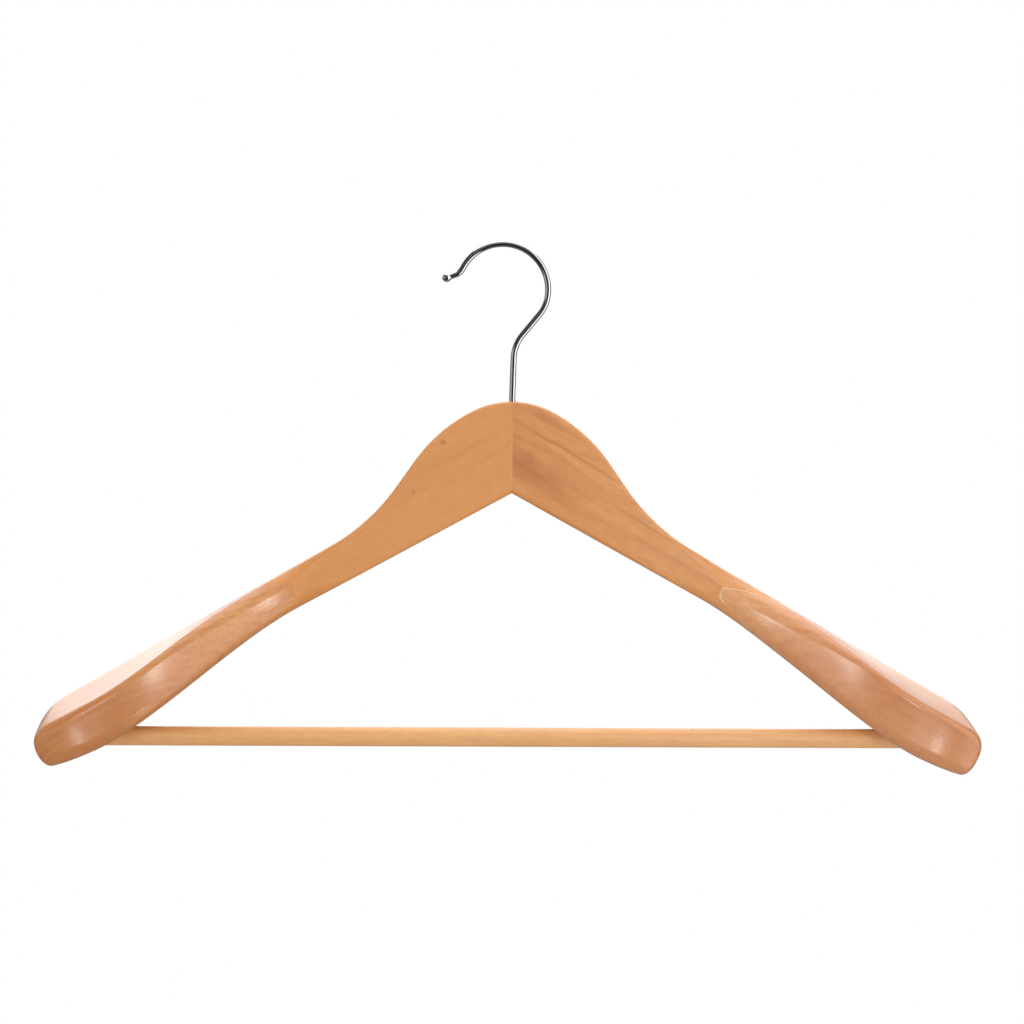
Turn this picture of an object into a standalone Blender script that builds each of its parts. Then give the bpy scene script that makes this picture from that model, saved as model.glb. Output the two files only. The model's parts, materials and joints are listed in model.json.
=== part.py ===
"""Wooden jacket hanger with broad shoulders, a trouser bar and a swivelling steel hook.

Units are metres, with +Z up. The front faces -Y, and left is -X. The world's origin is the
crest inside the hook, where a rail touches it. Everything is drawn round the point where the
shank leaves the top of the neck: x = 0 is the swivel axis and the mitre of the two arms.
"""

import math

import bmesh
import bpy
import numpy as np

MM = 0.001

# Outline of the arms, seen from the front, from the neck outwards.
CROWN_RADIUS = 42.0 * MM
CROWN_ANGLE = math.radians(27.4)
NECK_SIDE_RADIUS = 77.3 * MM
STEEPEST_ANGLE = math.radians(55.0)
STEEP_RUN = 9.0 * MM
HOLLOW_RADIUS = 98.5 * MM
ARM_SLOPE = math.radians(29.8)
ARM_REACH = 228.2 * MM
NECK_HEIGHT = 44.2 * MM
UNDERSIDE_TAPER = math.radians(1.1)

# Broad shoulder at the outer end of each arm.
SHOULDER_START = 99.0 * MM
SHOULDER_RUN = 100.0 * MM
LEFT_SWELL_START = 103.0 * MM
LEFT_SWELL_RUN = 92.0 * MM
LEFT_SWELL_DEPTH = 15.5 * MM
RIGHT_SWELL_START = 93.0 * MM
RIGHT_SWELL_RUN = 100.0 * MM
RIGHT_SWELL_DEPTH = 18.7 * MM
TOE_RUN = 44.0 * MM
TOE_RISE = 6.5 * MM
BLOCK_DEPTH = 33.0 * MM
BACK_SWEEP = 5.0 * MM
TOP_FALL = 8.4 * MM
UNDERSIDE_RISE = 3.0 * MM
END_CORNER_LENGTH = 42.0 * MM
END_FLAT_WIDTH = 6.0 * MM
END_FRONT_LENGTH = 26.0 * MM
END_FRONT_DEPTH = 7.0 * MM
END_TILT = math.radians(22.0)
END_BOW = 1.5 * MM
END_TOP_FRONT_RADIUS = 7.5 * MM
END_TOP_BACK_RADIUS = 16.0 * MM
END_BOTTOM_RADIUS = 3.5 * MM
LEAST_SECTION_HEIGHT = 1.2 * MM

# Rounding of the front where the shoulder begins, as shares of the arm's height there.
FLARE_ROUND_START = 84.0 * MM
FLARE_ROUND_RISE = 26.0 * MM
FLARE_FADE_START = 116.0 * MM
FLARE_FADE_RUN = 60.0 * MM
LEFT_FLARE_TOP_SHARE = 0.4
RIGHT_FLARE_TOP_SHARE = 0.54
FLARE_BOTTOM_SHARE = 0.34

# Board and edges.
BOARD_THICKNESS = 14.0 * MM
BOARD_EDGE_RADIUS = 2.0 * MM
SHOULDER_TOP_RADIUS = 3.0 * MM
SHOULDER_FRONT_RADIUS = 6.0 * MM
SHOULDER_BACK_RADIUS = 3.0 * MM
LARGEST_FRONT_SHARE = 0.75
SANDED_DEPTH = 0.9 * MM
GLUE_LINE = 0.1 * MM
THINNEST_FEATHER = 0.8 * MM

# Trouser bar.
BAR_DIAMETER = 9.2 * MM
BAR_BEHIND_BLOCK_FACE = 23.0 * MM
BAR_ENTRY_FROM_END = 39.2 * MM
BAR_END_FROM_END = 20.0 * MM
BAR_CHAMFER = 0.8 * MM
BAR_CLEARANCE = 0.25 * MM

# Hook.
WIRE_DIAMETER = 3.0 * MM
HOOK_RADIUS = 21.9 * MM
HOOK_RISE = 54.5 * MM
HOOK_SIDESTEP = 5.0 * MM
THROAT_ANGLE = math.radians(50.7)
THROAT_RADIUS = 17.3 * MM
THROAT_TURN = math.radians(27.3)
SHANK_BEND_RADIUS = 18.5 * MM
SHANK_LEAN = math.radians(1.5)
LEAN_RADIUS = 60.0 * MM
LEAN_HEIGHT = 2.0 * MM
HOOK_SWEEP = math.radians(165.2)
LIP_BEND_RADIUS = 6.3 * MM
LIP_TURN = math.radians(43.0)
LIP_LENGTH = 4.6 * MM
BALL_DIAMETER = 4.2 * MM
SHANK_DEPTH = 20.0 * MM
SHANK_CLEARANCE = 0.25 * MM

# Pin that holds the hook, in a groove of its shank.
PIN_DIAMETER = 1.8 * MM
PIN_HEAD_DIAMETER = 3.2 * MM
PIN_HEAD_HEIGHT = 0.6 * MM
PIN_FRONT_COVER = 3.0 * MM
GROOVE_DEPTH = 0.6 * MM
GROOVE_WIDTH = 2.6 * MM
GROOVE_FROM_END = 4.0 * MM

# Dowels across the mitre.
DOWEL_DIAMETER = 5.0 * MM
DOWEL_LENGTH = 30.0 * MM
DOWEL_CHAMFER = 0.6 * MM
DOWEL_BELOW_SHANK = 6.5 * MM
DOWEL_PITCH = 9.5 * MM
DOWEL_CLEARANCE = 0.15 * MM

# Brads that lock the bar.
BRAD_DIAMETER = 1.5 * MM
BRAD_HEAD_DIAMETER = 2.8 * MM
BRAD_HEAD_HEIGHT = 0.6 * MM
BRAD_FROM_BAR_END = 6.0 * MM
BRAD_POINT_PAST_AXIS = 2.0 * MM

# Both kinds of nail.
NAIL_SINK = 0.3 * MM
NAIL_CLEARANCE = 0.2 * MM
NAIL_POINT_SHARE = 0.25

# Fineness of the meshes.
NECK_STATIONS = 24
SHOULDER_STATIONS = 14
END_STATIONS = 9
EDGE_STEPS = 4
FACE_STEPS = 3
ROUND_SIDES = 24
NAIL_SIDES = 14
WIRE_RESOLUTION = 3
BALL_SEGMENTS = 20
BALL_RINGS = 12
SETTLING_STEPS = 40
FINE_STEPS = 600
ARC_STEP = math.radians(7.0)
SHARP_ANGLE = math.radians(35.0)
LARGEST_EDGE_SHARE = 0.4
MERGE_DISTANCE = 0.001 * MM
BORE_OVERSHOOT = 3.0 * MM

LEFT = -1
RIGHT = 1
NECK_TOP = (0.0, 0.0, 0.0)
UPRIGHT = (0.0, 0.0, 0.0)
ALONG_X = (0.0, math.pi / 2, 0.0)
FROM_REAR = (math.pi / 2, 0.0, 0.0)
NECK_FRONT = -BOARD_THICKNESS / 2
GLUE_PLANE = NECK_FRONT - SANDED_DEPTH
FRONT_FACE = NECK_FRONT - BLOCK_DEPTH
END_CORNER_DEPTH = BOARD_THICKNESS + BLOCK_DEPTH - BACK_SWEEP - END_FRONT_DEPTH - END_FLAT_WIDTH
SWELLS = {
    LEFT: (LEFT_SWELL_START, LEFT_SWELL_RUN, LEFT_SWELL_DEPTH),
    RIGHT: (RIGHT_SWELL_START, RIGHT_SWELL_RUN, RIGHT_SWELL_DEPTH),
}
FLARE_TOP_SHARES = {LEFT: LEFT_FLARE_TOP_SHARE, RIGHT: RIGHT_FLARE_TOP_SHARE}
BAR_Y = FRONT_FACE + BAR_BEHIND_BLOCK_FACE
BAR_END = ARM_REACH - BAR_END_FROM_END
WIRE_RADIUS = WIRE_DIAMETER / 2
CREST_HEIGHT = HOOK_RISE + HOOK_RADIUS - WIRE_RADIUS

PALE_WOOD = (0.64, 0.30, 0.12, 1.0)
RED_WOOD = (0.60, 0.26, 0.10, 1.0)
BAR_WOOD = (0.72, 0.38, 0.16, 1.0)
DOWEL_WOOD = (0.70, 0.45, 0.24, 1.0)
CHROME = (0.62, 0.62, 0.64, 1.0)
STEEL = (0.45, 0.44, 0.43, 1.0)
VARNISHED = 0.35
BARE = 0.6
CHROMED = 0.12
DRAWN = 0.4


def clear_scene():
    for obj in list(bpy.data.objects):
        bpy.data.objects.remove(obj)


def new_collection(name):
    collection = bpy.data.collections.new(name)
    bpy.context.scene.collection.children.link(collection)
    return collection


def painted(name, colour, roughness, metallic=0.0):
    material = bpy.data.materials.new(name)
    material.use_nodes = True
    shader = material.node_tree.nodes["Principled BSDF"]
    shader.inputs["Base Color"].default_value = colour
    shader.inputs["Roughness"].default_value = roughness
    shader.inputs["Metallic"].default_value = metallic
    return material


def smooth_step(t):
    """0 before t = 0 and 1 after t = 1, with level ends."""
    t = np.clip(t, 0.0, 1.0)
    return t * t * (3.0 - 2.0 * t)


def shoulder_share(x):
    """How much of the shoulder's shape an arm has at x: 0 on the neck, 1 near the end."""
    return smooth_step((x - SHOULDER_START) / SHOULDER_RUN)


def flare_share(x):
    """How round the front is at x: it grows where the shoulder begins and fades towards the end."""
    grown = smooth_step((x - FLARE_ROUND_START) / FLARE_ROUND_RISE)
    return grown * (1.0 - smooth_step((x - FLARE_FADE_START) / FLARE_FADE_RUN))


def quarter_drop(distance, radius):
    """How far a quarter circle lies under its top at this distance from its edge, as a share of 1."""
    across = 1.0 - np.clip(distance / radius, 0.0, 1.0)
    return 1.0 - np.sqrt(1.0 - across * across)


def top_height(x):
    """Height of an arm's top edge at x: crown, side of the neck, straight, hollow and straight arm."""
    crown_end = CROWN_RADIUS * math.sin(CROWN_ANGLE)
    crown_drop = CROWN_RADIUS * (1.0 - math.cos(CROWN_ANGLE))
    side_x = crown_end - NECK_SIDE_RADIUS * math.sin(CROWN_ANGLE)
    side_z = -crown_drop - NECK_SIDE_RADIUS * math.cos(CROWN_ANGLE)
    side_end = side_x + NECK_SIDE_RADIUS * math.sin(STEEPEST_ANGLE)
    side_bottom = side_z + NECK_SIDE_RADIUS * math.cos(STEEPEST_ANGLE)
    hollow_start = side_end + STEEP_RUN
    hollow_top = side_bottom - STEEP_RUN * math.tan(STEEPEST_ANGLE)
    hollow_x = hollow_start + HOLLOW_RADIUS * math.sin(STEEPEST_ANGLE)
    hollow_z = hollow_top + HOLLOW_RADIUS * math.cos(STEEPEST_ANGLE)
    arm_start = hollow_x - HOLLOW_RADIUS * math.sin(ARM_SLOPE)
    arm_top = hollow_z - HOLLOW_RADIUS * math.cos(ARM_SLOPE)
    crown = np.sqrt(np.maximum(CROWN_RADIUS**2 - x**2, 0.0)) - CROWN_RADIUS
    side = side_z + np.sqrt(np.maximum(NECK_SIDE_RADIUS**2 - (x - side_x) ** 2, 0.0))
    steep = side_bottom - (x - side_end) * math.tan(STEEPEST_ANGLE)
    hollow = hollow_z - np.sqrt(np.maximum(HOLLOW_RADIUS**2 - (x - hollow_x) ** 2, 0.0))
    arm = arm_top - (x - arm_start) * math.tan(ARM_SLOPE)
    return np.select(
        [x < crown_end, x < side_end, x < hollow_start, x < arm_start],
        [crown, side, steep, hollow],
        arm,
    )


def bottom_height(side, x):
    """Height of an arm's lower edge at x: straight from the mitre, then the shoulder's swell and toe."""
    straight = -NECK_HEIGHT - x * math.tan(ARM_SLOPE - UNDERSIDE_TAPER)
    toe_start = ARM_REACH - TOE_RUN
    toe = TOE_RISE * np.clip((x - toe_start) / TOE_RUN, 0.0, None) ** 2
    swell_start, swell_run, swell_depth = SWELLS[side]
    swell = swell_depth * smooth_step((x - swell_start) / swell_run)
    return straight - swell + toe


def section_frame(side, x):
    """(tilt, height) of the section whose top is at x. It leans more the further out it is."""
    tilt = END_TILT * smooth_step(x / SHOULDER_START)
    height = top_height(x) - bottom_height(side, x)
    for _ in range(SETTLING_STEPS):
        foot = x - height * np.sin(tilt)
        height = (top_height(x) - bottom_height(side, foot)) / np.cos(tilt)
    return tilt, height


def from_end(x):
    """Distance along the arm from the section whose top is at x to the arm's end."""
    return (ARM_REACH - x) / math.cos(ARM_SLOPE)


def front_depth(x):
    """Y of the front face of the whole arm, board and block, at the section x."""
    corner = END_FRONT_DEPTH * quarter_drop(from_end(x), END_FRONT_LENGTH)
    return NECK_FRONT - BLOCK_DEPTH * shoulder_share(x) + corner


def back_depth(x):
    """Y of the back face at the section x. The back corner of the end is rounded off."""
    corner = END_CORNER_DEPTH * quarter_drop(from_end(x), END_CORNER_LENGTH)
    return -NECK_FRONT - BACK_SWEEP * shoulder_share(x) - corner


def grown_radius(x, shoulder_radius):
    return BOARD_EDGE_RADIUS + (shoulder_radius - BOARD_EDGE_RADIUS) * shoulder_share(x)


def rear_radius(x):
    return np.minimum(grown_radius(x, SHOULDER_BACK_RADIUS), (back_depth(x) - front_depth(x)) / 2)


def front_radius(side, x, shoulder_radius, flare_height_share):
    """Radius of a front edge. Where the shoulder begins it is a share of the arm's height."""
    _, height = section_frame(side, x)
    grown = grown_radius(x, shoulder_radius)
    rounded = grown + (flare_height_share * height - grown) * flare_share(x)
    return np.minimum(rounded, (back_depth(x) - front_depth(x)) * LARGEST_FRONT_SHARE)


def section_edges(side, x, y):
    """(top, bottom) of the section x at depth y, as distances down the section from its top. The
    rounded top and underside of the end would cross, so they are kept apart there."""
    _, height = section_frame(side, x)
    front = front_depth(x)
    back = back_depth(x)
    backwards = (y - front) / (back - front)
    share = shoulder_share(x) ** 2
    end_top_radius = END_TOP_FRONT_RADIUS + (END_TOP_BACK_RADIUS - END_TOP_FRONT_RADIUS) * backwards
    end_top = end_top_radius * quarter_drop(from_end(x), end_top_radius)
    end_bottom = END_BOTTOM_RADIUS * quarter_drop(from_end(x), END_BOTTOM_RADIUS)
    top_front = front_radius(side, x, SHOULDER_TOP_RADIUS, FLARE_TOP_SHARES[side])
    bottom_front = front_radius(side, x, SHOULDER_FRONT_RADIUS, FLARE_BOTTOM_SHARE)
    rear = rear_radius(x)
    rear_drop = rear * quarter_drop(back - y, rear)
    top = TOP_FALL * share * (1.0 - backwards) + end_top
    top = top + top_front * quarter_drop(y - front, top_front) + rear_drop
    bottom = height - UNDERSIDE_RISE * share * backwards - end_bottom
    bottom = bottom - bottom_front * quarter_drop(y - front, bottom_front) - rear_drop
    middle = (top + bottom) / 2
    top = np.minimum(top, middle - LEAST_SECTION_HEIGHT / 2)
    bottom = np.maximum(bottom, middle + LEAST_SECTION_HEIGHT / 2)
    return top, bottom


def end_bow(side, x, down):
    """How far the section x bulges outwards at this distance down it. Only an arm's end does."""
    _, height = section_frame(side, x)
    share = np.clip(down / height, 0.0, 1.0)
    return END_BOW * 4.0 * share * (1.0 - share) * smooth_step(1.0 - from_end(x) / END_CORNER_LENGTH)


def section_point(side, x, y, down):
    """A point of the section x at depth y, this far down from the section's top."""
    tilt, _ = section_frame(side, x)
    return (
        side * float(x - down * np.sin(tilt) + end_bow(side, x, down)),
        float(y),
        float(top_height(x) - down * np.cos(tilt)),
    )


def across_depths(side, x, front, back):
    """Depths from front to back, close together where the edges are round."""
    bends = 1.0 - np.cos(np.linspace(0.0, math.pi / 2, EDGE_STEPS + 1))
    round_front = front_radius(side, x, SHOULDER_FRONT_RADIUS, FLARE_TOP_SHARES[side])
    edge = min(float(round_front), (back - front) * LARGEST_EDGE_SHARE)
    rear = min(float(rear_radius(x)), (back - front) * LARGEST_EDGE_SHARE)
    flat = np.linspace(front + edge, back - rear, FACE_STEPS + 1)[1:-1]
    return np.concatenate([front + edge * bends, flat, back - rear * bends[::-1]])


def ring_of_section(side, x, front, back):
    """The closed outline of a section between two depths, over the top and back under the arm."""
    depths = across_depths(side, x, front, back)
    top, bottom = section_edges(side, x, depths)
    over = [section_point(side, x, y, down) for y, down in zip(depths, top)]
    under = [section_point(side, x, y, down) for y, down in zip(depths, bottom)]
    return over + under[::-1]


def loft(name, rings, material, collection, parent):
    """A closed solid through rings of equally many points, flat at both ends."""
    mesh = bmesh.new()
    rows = [[mesh.verts.new(point) for point in ring] for ring in rings]
    for row, following in zip(rows, rows[1:]):
        for i, corner in enumerate(row):
            after = (i + 1) % len(row)
            mesh.faces.new((corner, row[after], following[after], following[i]))
    bmesh.ops.triangulate(mesh, faces=mesh.faces)
    mesh.faces.new(rows[0])
    mesh.faces.new(rows[-1])
    bmesh.ops.recalc_face_normals(mesh, faces=mesh.faces)
    return mesh_object(name, mesh, material, collection, parent)


def mesh_object(name, mesh, material, collection, parent):
    data = bpy.data.meshes.new(name)
    mesh.to_mesh(data)
    mesh.free()
    if material:
        data.materials.append(material)
    data.shade_smooth()
    data.set_sharp_from_angle(angle=SHARP_ANGLE)
    obj = bpy.data.objects.new(name, data)
    obj.parent = parent
    collection.objects.link(obj)
    return obj


def spun(name, outline, closed, place, rotation, material, collection, parent, sides):
    """An outline of (radius, distance along the axis), turned round the axis and set in place."""
    mesh = bmesh.new()
    corners = [mesh.verts.new((radius, 0.0, along)) for radius, along in outline]
    followers = corners[1:] + corners[:1] if closed else corners[1:]
    for corner, follower in zip(corners, followers):
        mesh.edges.new((corner, follower))
    obj = mesh_object(name, mesh, material, collection, parent)
    screw = obj.modifiers.new("turn", "SCREW")
    screw.steps = sides
    screw.render_steps = sides
    screw.use_merge_vertices = True
    screw.merge_threshold = MERGE_DISTANCE
    obj.location = place
    obj.rotation_euler = rotation
    return obj


def turned(name, profile, place, rotation, material, collection, parent, sides=ROUND_SIDES):
    """A solid round piece, whose profile is closed off by a flat disc at both ends."""
    start = (0.0, profile[0][1])
    finish = (0.0, profile[-1][1])
    outline = [start, *profile, finish]
    if finish[1] > start[1]:
        outline.reverse()
    return spun(name, outline, False, place, rotation, material, collection, parent, sides)


def cutter(name, profile, place, rotation, collection, parent, sides=ROUND_SIDES):
    return as_cutter(turned(name, profile, place, rotation, None, collection, parent, sides))


def as_cutter(obj):
    obj.hide_render = True
    obj.display_type = "WIRE"
    return obj


def combine(obj, other, operation):
    modifier = obj.modifiers.new(other.name, "BOOLEAN")
    modifier.operation = operation
    modifier.solver = "EXACT"
    modifier.object = other


def neck_stations():
    return np.linspace(GLUE_LINE / 2, SHOULDER_START, NECK_STATIONS)


def shoulder_stations(first, last):
    return np.linspace(first, last, SHOULDER_STATIONS)


def end_stations(last):
    """Stations over the rounded end, closer together towards the last one."""
    length = last - (ARM_REACH - END_CORNER_LENGTH * math.cos(ARM_SLOPE))
    angles = np.linspace(0.0, math.pi / 2, END_STATIONS)
    return last - length * (1.0 - np.sin(angles))


def board_end():
    """The last station where the board still has wood behind the glue plane."""
    stations = np.linspace(SHOULDER_START, ARM_REACH, FINE_STEPS)
    return stations[back_depth(stations) - GLUE_PLANE > THINNEST_FEATHER][-1]


def block_start():
    """The first station where the block is thick enough to exist in front of the glue plane."""
    stations = np.linspace(SHOULDER_START, ARM_REACH, FINE_STEPS)
    thickness = GLUE_PLANE - GLUE_LINE - front_depth(stations)
    return stations[thickness > THINNEST_FEATHER][0]


def arm(name, side, material, collection, parent):
    """The board of one arm: half of the neck, the flare and the back of the shoulder."""
    last = board_end()
    end = end_stations(last)
    stations = np.concatenate([
        neck_stations()[:-1],
        shoulder_stations(SHOULDER_START, end[0])[:-1],
        end,
    ])
    rings = [
        ring_of_section(side, x, max(GLUE_PLANE, float(front_depth(x))), float(back_depth(x)))
        for x in stations
    ]
    return loft(name, rings, material, collection, parent)


def shoulder_block(name, side, material, collection, parent):
    """The block glued to the front of the arm. It feathers out towards the neck."""
    first = block_start()
    end = end_stations(ARM_REACH)
    stations = np.concatenate([shoulder_stations(first, end[0])[:-1], end])
    rear = GLUE_PLANE - GLUE_LINE
    rings = [
        ring_of_section(side, x, float(front_depth(x)), min(rear, float(back_depth(x))))
        for x in stations
    ]
    return loft(name, rings, material, collection, parent)


def underside_height(side, x, y):
    """Height of the arm's underside at this place."""
    station = x
    for _ in range(SETTLING_STEPS):
        tilt, _ = section_frame(side, station)
        _, down = section_edges(side, station, y)
        station = x + down * np.sin(tilt)
    return float(top_height(station) - down * np.cos(tilt))


def back_face_at(side, x, z):
    """Y of the arm's back face at this place, seen from behind."""
    station = x
    for _ in range(SETTLING_STEPS):
        tilt, _ = section_frame(side, station)
        down = (top_height(station) - z) / np.cos(tilt)
        station = x + down * np.sin(tilt) - end_bow(side, station, down)
    return float(back_depth(station))


def rod_profile(diameter, length, chamfer):
    """A round rod with chamfered ends, centred on its own middle."""
    radius = diameter / 2
    return [
        (radius - chamfer, length / 2),
        (radius, length / 2 - chamfer),
        (radius, chamfer - length / 2),
        (radius - chamfer, -length / 2),
    ]


def bore_profile(diameter, first, last):
    return [(diameter / 2, first), (diameter / 2, last)]


def nail_profile(diameter, head_diameter, head_height, length):
    """A nail with a flat head and a point, measured inwards from the wood's face."""
    head_end = NAIL_SINK + head_height
    return [
        (head_diameter / 2, NAIL_SINK),
        (head_diameter / 2, head_end),
        (diameter / 2, head_end),
        (diameter / 2, length - diameter),
        (diameter / 2 * NAIL_POINT_SHARE, length),
    ]


def nail_bore_profile(diameter, head_diameter, head_height, length):
    """The hole that a nail leaves, with room for its head and open at the wood's face."""
    radius = diameter / 2 + NAIL_CLEARANCE
    head_radius = head_diameter / 2 + NAIL_CLEARANCE
    head_end = NAIL_SINK + head_height + NAIL_CLEARANCE
    return [
        (head_radius, -BORE_OVERSHOOT),
        (head_radius, head_end),
        (radius, head_end),
        (radius, length + NAIL_CLEARANCE),
    ]


def arc_walk(points, heading, radius, turn):
    """Adds an arc to the points and returns the new heading. A positive turn is to the left."""
    x, z = points[-1]
    side = math.copysign(1.0, turn)
    centre_x = x - side * radius * math.sin(heading)
    centre_z = z + side * radius * math.cos(heading)
    steps = math.ceil(abs(turn) / ARC_STEP)
    for step in range(1, steps + 1):
        angle = heading + turn * step / steps
        points.append((
            centre_x + side * radius * math.sin(angle),
            centre_z - side * radius * math.cos(angle),
        ))
    return heading + turn


def straight_walk(points, heading, length):
    x, z = points[-1]
    points.append((x + length * math.cos(heading), z + length * math.sin(heading)))


def hook_route():
    """Centreline of the wire, from the foot of the shank to the ball.

    The shank leaves the neck upright, leans over a little and bends into the straight throat.
    Both straights end short of where their lines cross, to leave room for the bend.
    """
    points = [(0.0, -SHANK_DEPTH), (0.0, LEAN_HEIGHT)]
    heading = arc_walk(points, math.pi / 2, LEAN_RADIUS, -SHANK_LEAN)
    joined = THROAT_ANGLE + THROAT_TURN
    inset = HOOK_RADIUS - THROAT_RADIUS
    throat_x = inset * math.sin(joined) + THROAT_RADIUS * math.sin(THROAT_ANGLE) - HOOK_SIDESTEP
    throat_z = HOOK_RISE - inset * math.cos(joined) - THROAT_RADIUS * math.cos(THROAT_ANGLE)
    across = throat_x - points[-1][0]
    up = throat_z - points[-1][1]
    turn = heading - THROAT_ANGLE
    bend_length = SHANK_BEND_RADIUS * math.tan(turn / 2)
    shank_length = (up * math.cos(THROAT_ANGLE) - across * math.sin(THROAT_ANGLE)) / math.sin(turn)
    throat_length = (across * math.sin(heading) - up * math.cos(heading)) / math.sin(turn)
    straight_walk(points, heading, shank_length - bend_length)
    heading = arc_walk(points, heading, SHANK_BEND_RADIUS, -turn)
    straight_walk(points, heading, throat_length - bend_length)
    heading = arc_walk(points, heading, THROAT_RADIUS, THROAT_TURN)
    heading = arc_walk(points, heading, HOOK_RADIUS, HOOK_SWEEP)
    heading = arc_walk(points, heading, LIP_BEND_RADIUS, -LIP_TURN)
    straight_walk(points, heading, LIP_LENGTH)
    return points


def wire(name, points, diameter, material, collection, parent):
    """A round wire along points of (x, z), as a mesh with closed ends."""
    curve = bpy.data.curves.new(name, "CURVE")
    curve.dimensions = "3D"
    curve.bevel_depth = diameter / 2
    curve.bevel_resolution = WIRE_RESOLUTION
    curve.use_fill_caps = True
    spline = curve.splines.new("POLY")
    spline.points.add(len(points) - 1)
    for point, (x, z) in zip(spline.points, points):
        point.co = (x, 0.0, z, 1.0)
    guide = bpy.data.objects.new(name, curve)
    collection.objects.link(guide)
    bpy.context.view_layer.update()
    data = bpy.data.meshes.new_from_object(guide.evaluated_get(bpy.context.evaluated_depsgraph_get()))
    place = guide.matrix_world.copy()
    bpy.data.objects.remove(guide)
    mesh = bmesh.new()
    mesh.from_mesh(data)
    bpy.data.meshes.remove(data)
    bmesh.ops.remove_doubles(mesh, verts=mesh.verts, dist=MERGE_DISTANCE)
    bmesh.ops.transform(mesh, matrix=place, verts=mesh.verts)
    bmesh.ops.recalc_face_normals(mesh, faces=mesh.faces)
    return mesh_object(name, mesh, material, collection, parent)


def ball(name, diameter, x, z, collection, parent):
    mesh = bmesh.new()
    bmesh.ops.create_uvsphere(
        mesh, u_segments=BALL_SEGMENTS, v_segments=BALL_RINGS, radius=diameter / 2
    )
    obj = mesh_object(name, mesh, None, collection, parent)
    obj.location = (x, 0.0, z)
    return obj


def groove_ring(collection, parent):
    """A square ring round the foot of the shank, whose inside is the root of the groove."""
    inner = WIRE_RADIUS - GROOVE_DEPTH
    outer = WIRE_RADIUS + GROOVE_DEPTH
    half = GROOVE_WIDTH / 2
    outline = [(inner, half), (outer, half), (outer, -half), (inner, -half)]
    middle = (0.0, 0.0, GROOVE_FROM_END - SHANK_DEPTH)
    ring = spun(
        "groove_cut", outline, True, middle, UPRIGHT, None, collection, parent, ROUND_SIDES
    )
    return as_cutter(ring)


def hook(parts, cutters, parent):
    """The wire hook with its ball, and the groove near the foot of its shank."""
    points = hook_route()
    material = painted("polished_chrome", CHROME, CHROMED, 1.0)
    obj = wire("hook", points, WIRE_DIAMETER, material, parts, parent)
    tip = as_cutter(ball("ball_shape", BALL_DIAMETER, *points[-1], cutters, parent))
    combine(obj, tip, "UNION")
    combine(obj, groove_ring(cutters, parent), "DIFFERENCE")


def bore_shank(arms, cutters, parent):
    """The hole in the neck for the hook's shank, half of it in each arm."""
    profile = bore_profile(
        WIRE_DIAMETER + 2 * SHANK_CLEARANCE, -SHANK_DEPTH - SHANK_CLEARANCE, BORE_OVERSHOOT
    )
    bore = cutter("shank_bore", profile, NECK_TOP, UPRIGHT, cutters, parent)
    for arm_piece in arms:
        combine(arm_piece, bore, "DIFFERENCE")


def neck_dowel(label, height, arms, parts, cutters, parent):
    """A dowel across the mitre, half of it in each arm."""
    place = (0.0, 0.0, height)
    wood = painted(f"{label}_dowel_wood", DOWEL_WOOD, BARE)
    rod = rod_profile(DOWEL_DIAMETER, DOWEL_LENGTH, DOWEL_CHAMFER)
    turned(f"{label}_neck_dowel", rod, place, ALONG_X, wood, parts, parent)
    profile = rod_profile(
        DOWEL_DIAMETER + 2 * DOWEL_CLEARANCE, DOWEL_LENGTH + 2 * DOWEL_CLEARANCE, DOWEL_CHAMFER
    )
    bore = cutter(f"{label}_dowel_bore", profile, place, ALONG_X, cutters, parent)
    for arm_piece in arms:
        combine(arm_piece, bore, "DIFFERENCE")


def retaining_pin(arm_piece, parts, cutters, parent):
    """The pin beside the shank. It lies in the groove, so that the hook turns but can't come out."""
    size = (PIN_DIAMETER, PIN_HEAD_DIAMETER, PIN_HEAD_HEIGHT, BOARD_THICKNESS - PIN_FRONT_COVER)
    beside = WIRE_RADIUS - GROOVE_DEPTH + PIN_DIAMETER / 2 + SHANK_CLEARANCE
    place = (beside, -NECK_FRONT, GROOVE_FROM_END - SHANK_DEPTH)
    steel = painted("pin_steel", STEEL, DRAWN, 1.0)
    nail = nail_profile(*size)
    turned("hook_retaining_pin", nail, place, FROM_REAR, steel, parts, parent, NAIL_SIDES)
    profile = nail_bore_profile(*size)
    bore = cutter("pin_bore", profile, place, FROM_REAR, cutters, parent, NAIL_SIDES)
    combine(arm_piece, bore, "DIFFERENCE")


def trouser_bar(place, blocks, parts, cutters, parent):
    """The round bar, let into a blind socket in each shoulder block."""
    wood = painted("bar_wood", BAR_WOOD, VARNISHED)
    rod = rod_profile(BAR_DIAMETER, 2 * BAR_END, BAR_CHAMFER)
    bar = turned("trouser_bar", rod, place, ALONG_X, wood, parts, parent)
    profile = rod_profile(
        BAR_DIAMETER + 2 * BAR_CLEARANCE, 2 * (BAR_END + BAR_CLEARANCE), BAR_CHAMFER
    )
    sockets = cutter("bar_sockets", profile, place, ALONG_X, cutters, parent)
    for block in blocks:
        combine(block, sockets, "DIFFERENCE")
    return bar


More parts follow.
